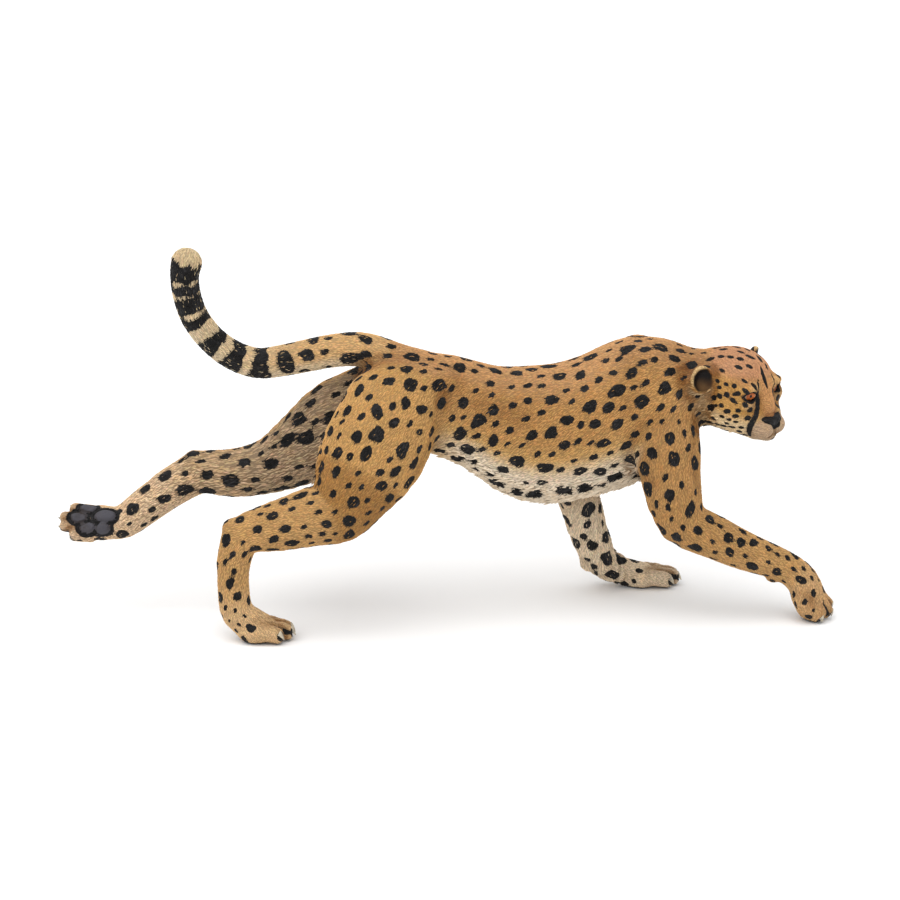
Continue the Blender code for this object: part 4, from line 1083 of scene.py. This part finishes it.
def bareSkin(p, r):
    # where no stroke grows
    m = r.m
    lids, eye = almond(r.q)
    bare = (lids < 0.12) & (np.abs(eye[:, 0]) < 2)
    bare |= oval(m, (4, 0, -5.6), (1.7, 2.6, 1.1)) < 0
    bare |= (earOval(m) < 0.5) & (earHollow(m)[0] < 0.3) & (m[:, 1] > 7.6)
    bare |= p[:, 2] < 0.35
    for name, paw in paws.items():
        at, close = inPaw(p, name), near(p, paw["ball"], 10)
        if name == "hindLeft":
            bare |= close & (padOutline(at) < 0.05) & (at[:, 2] < -0.8)
        for knuckle, tip, root in toesOf(name):
            bare |= close & near(at, root, 0.6)
    return bare


def bothEnds(place, along, size, normal, ink, back, ahead):
    # the ink at each stroke's root and tip, so that a marking's edge runs through the strokes
    ends = [paint(place + along * size[:, :1] * end, normal)[1] for end in (back, ahead)]
    return np.minimum(np.stack(ends, axis=1), ink[:, None] + 0.2)


def layCoat():
    s, rng = coatSettings, np.random.default_rng(23)
    size = coatSizes(skinParts, pointNormals)
    density = size[:, 3] / (0.5 * size[:, 0] * size[:, 1])
    density[bareSkin(skinPoints, skinParts)] = 0
    place, normal, uv = scatter(density[tris].mean(axis=1) * (1), rng)
    colour, ink, washAndShade, r = paint(place, normal)
    keep = ~bareSkin(place, r)
    along = flatLie(r, normal)
    along = unit(along + np.cross(normal, along) * rng.normal(0, s["turn"], len(place))[:, None])
    size = coatSizes(r, normal)[:, :3] * rng.uniform(*s["vary"], (len(place), 3))
    ink = bothEnds(place, along, size, normal, ink, stroke["root"][0], stroke["tip"][0])
    ink += rng.normal(0, 0.03, len(place))[:, None]
    scratch = (rng.random(len(place)) < s["bare"]) & (r.head < 0.5) & (ink.max(axis=1) < s["bareInside"])
    ink[scratch] = 0.5
    size[scratch] *= s["bareSize"]
    tone = rng.normal(0.02, 0.1, len(place)) * (1 + 0.7 * r.inside + 0.4 * r.under)
    colour = np.clip(colour * (1 + rng.normal(0, 0.03, (len(place), 3))), 0, 1)
    laid = (place, along, normal, size, uv, colour, ink, washAndShade, tone)
    onLeg = np.where(r.leg < 2, 2, r.leg + 1)
    part = np.where(r.share > 0.5, onLeg, np.where(place[:, 0] > 22.0, 5, 6))
    part = np.where(r.head > 0.5, 0, np.where(r.tail > 0.5, 1, part))
    shape, made = template(strokeShape()), []
    for n, name in enumerate(coatPieces):
        ids = np.flatnonzero((part == n) & keep)
        pieces = max(1, math.ceil(len(ids) / s["perPiece"]))
        for k, some in enumerate(np.array_split(ids, pieces)):
            title = name if pieces == 1 else f"{name}_{k + 1}"
            made.append(coatPiece(title, shape, *(values[some] for values in laid)))
    print("coat laid:", int(keep.sum()), "strokes in", len(made), "pieces")
    return made


tuftSettings = dict(size=(1.75, 0.6, 0.52), perSquare=3, lift=0.5, swirl=0.5, shorter=0.6)


def layTufts():
    # longer tufts where the coat breaks the outline: belly, chest, backs of the thighs, elbows and jaw
    s, rng = tuftSettings, np.random.default_rng(31)
    r, n, p = skinParts, pointNormals, skinPoints
    onTrunk = (r.share < 0.5) & (r.head < 0.4) & (r.tail < 0.4)
    onThigh = (r.share > 0.5) * (r.leg > 1) * smooth(-r.along, -0.42, -0.2)
    amount = np.max([
        onTrunk * smooth(-r.height, 0.58, 0.86) * about(p[:, 0], 22, 26, 18),
        0.5 * onThigh * smooth(-n[:, 0] - n[:, 2], 0.5, 1),
        0.6 * onTrunk * smooth(p[:, 0], 46, 50) * smooth(-n[:, 2], 0.1, 0.6),
        0.4 * (r.head > 0.5) * near(r.m, (-6.5, 5, -9), 4.5)], axis=0)
    amount[bareSkin(p, r)] = 0
    place, normal, uv = scatter((s["perSquare"] * amount)[tris].mean(axis=1), rng)
    colour, ink, washAndShade, r = paint(place, normal)
    along = flatLie(r, normal)
    swirl = rng.normal(0.0, 1.0, len(place)) * np.where(r.under > 0.5, s["swirl"], 0.2)
    along = unit(along + np.cross(normal, along) * swirl[:, None]
                 + normal * (s["lift"] * rng.uniform(0.3, 1, len(place)))[:, None])
    normal = unit(normal - along * (normal * along).sum(axis=1, keepdims=True))
    scale = np.where((r.head > 0.5) | (place[:, 0] > 45.0), s["shorter"], 1.0)[:, None]
    size = np.array(s["size"]) * rng.uniform(0.7, 1.3, (len(place), 3)) * scale
    tone = rng.normal(0.05, 0.07, len(place))
    print("tufts laid:", len(place))
    return coatPiece("coat_tufts", template(lockShape()), place, along, normal, size, uv, colour,
                     bothEnds(place, along, size, normal, ink, 0, 0.5), washAndShade * 0.6, tone)


coat = [*layCoat(), layTufts()]


# eyes, nose and claws, each a piece of its own
def eyeBall(name, side):
    middle, axes = onSide(side, eyePlace(side > 0), head["eyeAxes"])
    made = sphere(name, 48, 32, turned=True)
    local = meshPoints(made) * np.array(head["eyeRadii"])
    gaze = 0.1 if side < 0 else -0.6  # where the iris looks
    addNumbers(made, "ring", np.where(local[:, 0] > 0, np.hypot(local[:, 1] - gaze, local[:, 2]), 5.0))
    setPoints(made, middle - axes[:, 0] * (head["eyeRadii"][0] + head["eyeSink"]) + local @ axes.T)
    made.shade_smooth()
    return newObject(name, made)


def noseLeather():
    s = noseSettings
    made = sphere("nose_leather", 64, 44)
    local = meshPoints(made)
    normal = unit(local / np.array(s["radii"]))
    local = local * np.array(s["radii"])
    low = smooth(-local[:, 2], -0.6, 1.4)
    local[:, 1] *= 1 - 0.58 * low
    local[:, 0] += 0.3 * low
    local[:, 2] += noseWings(local)
    q = local + np.array(s["centre"])
    m = mirrored(q)
    pit = bell(trace(m, s["nostril"]), 0.34)
    deep = 0.5 * pit + 0.18 * bell(m[:, 1], 0.2) * smooth(-local[:, 2], -0.5, 0.3)
    deep -= 0.12 * bell(trace(m, s["ridge"]), 0.4)
    setPoints(made, head["place"] + (q - normal * deep[:, None]) @ headAxes.T)
    addNumbers(made, "pit", pit)
    made.shade_smooth()
    return newObject("nose_leather", made)


clawSettings = dict(long=1.9, wide=0.6, bend=0.3, point=0.07, farScale=0.6)


def clawPiece():
    s = clawSettings
    bm = bmesh.new()
    bmesh.ops.create_cone(bm, cap_ends=True, segments=12,
                          radius1=s["wide"], radius2=s["point"], depth=s["long"])
    edges = [e for e in bm.edges if abs(e.verts[0].co.z - e.verts[1].co.z) > 0.5 * s["long"]]
    bmesh.ops.subdivide_edges(bm, edges=edges, cuts=5)
    for v in bm.verts:
        t = v.co.z / s["long"] + 0.5
        v.co.x = v.co.x * 1.25 + s["bend"] * (1 - 2.2 * t * t)
    claw, whole = closed(bm, "claw"), bmesh.new()
    lean = frameOf((0.83, 0, -0.56), (0.56, 0, 0.83))  # the cone's axis runs forward and down from the toe
    shape = meshPoints(claw) @ np.stack([lean[:, 2], lean[:, 1], lean[:, 0]], axis=1).T
    for name, paw in paws.items():
        for knuckle, tip, root in toesOf(name):
            local = shape * (s["farScale"] if name == "hindLeft" else 1) + root
            setPoints(claw, np.array(paw["ball"]) + local @ pawAxes(name).T)
            whole.from_mesh(claw)
    bmesh.ops.recalc_face_normals(whole, faces=whole.faces)
    made = closed(whole, "claws")
    made.shade_smooth()
    points = meshPoints(made)
    points[:, 2] = np.maximum(points[:, 2], 0.03)  # none goes through the floor
    setPoints(made, points)
    return newObject("claws", made)


eyes = [eyeBall("eye_right_paint", -1), eyeBall("eye_left_paint", 1)]
nose = noseLeather()
claws = clawPiece()
print("eyes, nose and claws made")


class Socket:
    # a node's output that can be used in an expression
    def __init__(self, shader, link):
        self.shader, self.link = shader, link

    def calc(self, operation, a, b):
        return self.shader.node("ShaderNodeMath", {0: a, 1: b}, operation=operation)

    __add__ = lambda self, other: self.calc("ADD", self, other)
    __radd__ = lambda self, other: self.calc("ADD", other, self)
    __sub__ = lambda self, other: self.calc("SUBTRACT", self, other)
    __rsub__ = lambda self, other: self.calc("SUBTRACT", other, self)
    __mul__ = lambda self, other: self.calc("MULTIPLY", self, other)


class Paint:
    # one material: its Principled shader and the nodes that feed it
    def __init__(self, name, **values):
        self.material = bpy.data.materials.new(name)
        self.material.use_nodes = True
        self.tree = self.material.node_tree
        self.shader = self.tree.nodes["Principled BSDF"]
        self.set(**values)

    def set(self, **values):
        for key, value in values.items():
            self.feed(self.shader.inputs[key.replace("_", " ")], value)

    def feed(self, socket, value):
        if isinstance(value, Socket):
            self.tree.links.new(value.link, socket)
        elif socket.type == "RGBA" and len(value) == 3:
            socket.default_value = (*value, 1.0)
        else:
            socket.default_value = value

    def node(self, kind, sockets, out=0, **settings):
        made = self.tree.nodes.new(kind)
        for key, value in settings.items():
            setattr(made, key, value)
        for key, value in sockets.items():
            self.feed(made.inputs[key], value)
        return Socket(self, made.outputs[out])

    def place(self):
        return self.node("ShaderNodeTexCoord", {}, "Object")

    def mark(self, name, out="Fac"):
        return self.node("ShaderNodeAttribute", {}, out, attribute_name=name)

    def noise(self, scale, detail=2, rough=0.5):
        sockets = {"Vector": self.place(), "Scale": scale, "Detail": detail, "Roughness": rough}
        return self.node("ShaderNodeTexNoise", sockets, "Fac")

    def blend(self, amount, a, b, kind="MIX"):
        return self.node("ShaderNodeMix", {0: amount, 6: a, 7: b}, 2, data_type="RGBA", blend_type=kind)

    def scaled(self, colour, amount):
        return self.node("ShaderNodeVectorMath", {0: colour, "Scale": amount}, operation="SCALE")

    def ease(self, value, low, high, start=0, end=1):
        sockets = {0: value, 1: low, 2: high, 3: start, 4: end}
        return self.node("ShaderNodeMapRange", sockets, interpolation_type="SMOOTHSTEP")

    def bump(self, height, strength, distance):
        return self.node("ShaderNodeBump", {"Height": height, "Strength": strength, "Distance": distance})


finish = dict(
    warmTint=(1, 0.86, 0.7), washAndShadeTint=(0.42, 0.32, 0.23), inkBlack=(0.008, 0.0072, 0.007),
    inkGrey=(0.022, 0.021, 0.022), inkEdge=0.36, fleck=0.74, coatRough=0.55, inkRough=0.45,
)


def paintedCoat(name, grain):
    s = finish
    m = Paint(name, Specular_IOR_Level=0.16)
    broad, middle, fine = m.noise(70, 2), m.noise(420, 3), m.noise(2600, 2)
    edge = m.mark("ink") + (m.noise(1050, 4, 0.65) - 0.5) * s["inkEdge"]
    black = m.ease(edge, 0.035, -0.035)
    black = black * (1 - m.ease(m.noise(3300, 1), s["fleck"], s["fleck"] + 0.05) * 0.8)
    # tone holds random variation, together with the painted light on stroke crests and the painted shade
    # between strokes
    light = 1 + m.mark("tone") + (broad - 0.5) * 0.22 + (middle - 0.5) * 0.26 + (fine - 0.5) * 0.14
    colour = m.scaled(m.mark("paint", "Color"), light)
    warm = m.ease(middle, 0.45, 0.8, 0, 0.35)
    colour = m.blend(warm, colour, m.blend(1, colour, s["warmTint"], "MULTIPLY"))
    # brown wash and painted shade in the hollows: the colour darkened by the wash tint
    washAndShade = m.mark("washAndShade") * m.ease(middle, 0.2, 0.75, 0.55, 1.1)
    colour = m.blend(washAndShade, colour, m.blend(1, colour, s["washAndShadeTint"], "MULTIPLY"))
    ink = m.blend(m.ease(middle, 0.45, 0.75), s["inkBlack"], s["inkGrey"])
    # the black is lighter on stroke crests and darker on the skin between: painted sheen on the crests and
    # painted shade between the strokes
    ink = m.scaled(ink, 1.15 + m.mark("tone") * 2.4)
    m.set(Base_Color=m.blend(black, colour, ink),
          Roughness=s["coatRough"] - black * (s["coatRough"] - s["inkRough"]) + (middle - 0.5) * 0.12,
          Normal=m.bump(fine + m.noise(900, 3), 0.35 * grain, 0.00012))
    return m.material


def paintedEye():
    m = Paint("eye_paint", Roughness=0.38, Specular_IOR_Level=0.16, Coat_Weight=0.1, Coat_Roughness=0.1)
    ring = m.mark("ring") + (m.noise(2500, 2) - 0.5) * 0.12
    iris = m.blend(m.ease(m.noise(1800, 3), 0.35, 0.7), tint(204, 112, 56), tint(156, 80, 38))
    colour = m.blend(m.ease(ring, 0.36, 0.28), iris, (0.01, 0.009, 0.009))
    colour = m.blend(m.ease(ring, 1.02, 1.1), colour, tint(206, 160, 128))
    colour = m.blend(m.ease(ring, 1.36, 1.46), colour, (0.014, 0.012, 0.012))
    m.set(Base_Color=colour, Normal=m.bump(m.noise(2500, 2), 0.1, 0.00004))
    return m.material


def paintedNose():
    m = Paint("nose_paint", Specular_IOR_Level=0.14)
    pebbles = m.node("ShaderNodeTexVoronoi", {"Vector": m.place(), "Scale": 3200}, "Distance")
    middle = m.noise(900, 3)
    colour = m.blend(m.ease(middle, 0.4, 0.75), (0.006, 0.005, 0.005), (0.022, 0.02, 0.02))
    # darker in the nostrils: painted shade
    colour = m.blend(m.mark("pit"), colour, (0.004, 0.004, 0.004))
    m.set(Base_Color=colour, Roughness=0.46 + (middle - 0.5) * 0.2,
          Normal=m.bump(pebbles + middle, 0.7, 0.00008))
    return m.material


def paintedClaw():
    m = Paint("claw_paint")
    middle = m.noise(700, 3)
    colour = m.blend(m.ease(middle, 0.35, 0.7), tint(196, 184, 160), tint(110, 104, 98))
    m.set(Base_Color=colour, Roughness=0.42 + (middle - 0.5) * 0.2,
          Normal=m.bump(m.noise(2500), 0.3, 0.00005))
    return m.material


for pieces, material in (([skin], paintedCoat("skin_paint", 1)), (coat, paintedCoat("stroke_paint", 0.4)),
                         (eyes, paintedEye()), ([nose], paintedNose()), ([claws], paintedClaw())):
    for piece in pieces:
        piece.data.materials.append(material)


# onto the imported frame: centred on the footprint, in metres
for piece in [skin, *coat, *eyes, nose, claws]:
    setPoints(piece.data, (meshPoints(piece.data) - footCentre) * mm)
    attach(piece, "root")
flesh = [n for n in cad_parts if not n.startswith("eye") and n != "nose"]
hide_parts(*flesh)
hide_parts("eye_right")
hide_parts("eye_left")
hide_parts("nose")
print("pieces placed on the frame")


# the studio: a pale floor, an even sky of white cloth and one broad soft lamp overhead
studio = dict(floor=8, floorTone=0.9, sky=0.74, lamp=2.3, lampSpread=70, lampTilt=(22, -14, 0))


def makeStudio():
    s = studio
    bm = bmesh.new()
    bmesh.ops.create_grid(bm, x_segments=8, y_segments=8, size=s["floor"])
    made = closed(bm, "studio_floor")
    floor = newObject("studio_floor", made)
    cloth = Paint("studio_floor_paper", Roughness=0.9, Specular_IOR_Level=0.1)
    cloth.set(Base_Color=cloth.blend(cloth.noise(3), [s["floorTone"]] * 3, [s["floorTone"] + 0.02] * 3))
    made.materials.append(cloth.material)
    world = bpy.data.worlds.new("studio")
    world.use_nodes = True
    sky = world.node_tree.nodes["Background"].inputs
    sky["Color"].default_value, sky["Strength"].default_value = (1.0, 1.0, 1.0, 1.0), s["sky"]
    bpy.context.scene.world = world
    lamp = bpy.data.lights.new("overhead_cloth", "SUN")
    lamp.energy = s["lamp"]
    lamp.angle = math.radians(s["lampSpread"])
    newObject("overhead_cloth", lamp).rotation_euler = [math.radians(a) for a in s["lampTilt"]]
    bpy.context.scene.view_settings.view_transform = "Standard"


cameraSettings = dict(target=(0, 0, 38), away=480, azimuth=-4, elevation=15, lens=87.3, sensor=36)


def makeCamera():
    s = cameraSettings
    az, el = math.radians(s["azimuth"]), math.radians(s["elevation"])
    back = Vector((math.sin(az) * math.cos(el), -math.cos(az) * math.cos(el), math.sin(el)))
    data = bpy.data.cameras.new("camera")
    data.lens, data.sensor_width, data.clip_start, data.clip_end = s["lens"], s["sensor"], 0.01, 50
    camera = newObject("camera", data)
    target = (Vector(s["target"]) - Vector(footCentre)) * mm
    camera.location = target + back * (s["away"] * mm)
    camera.rotation_euler = back.to_track_quat("Z", "Y").to_euler()
    bpy.context.scene.camera = camera


makeStudio()
makeCamera()
print("studio lit")
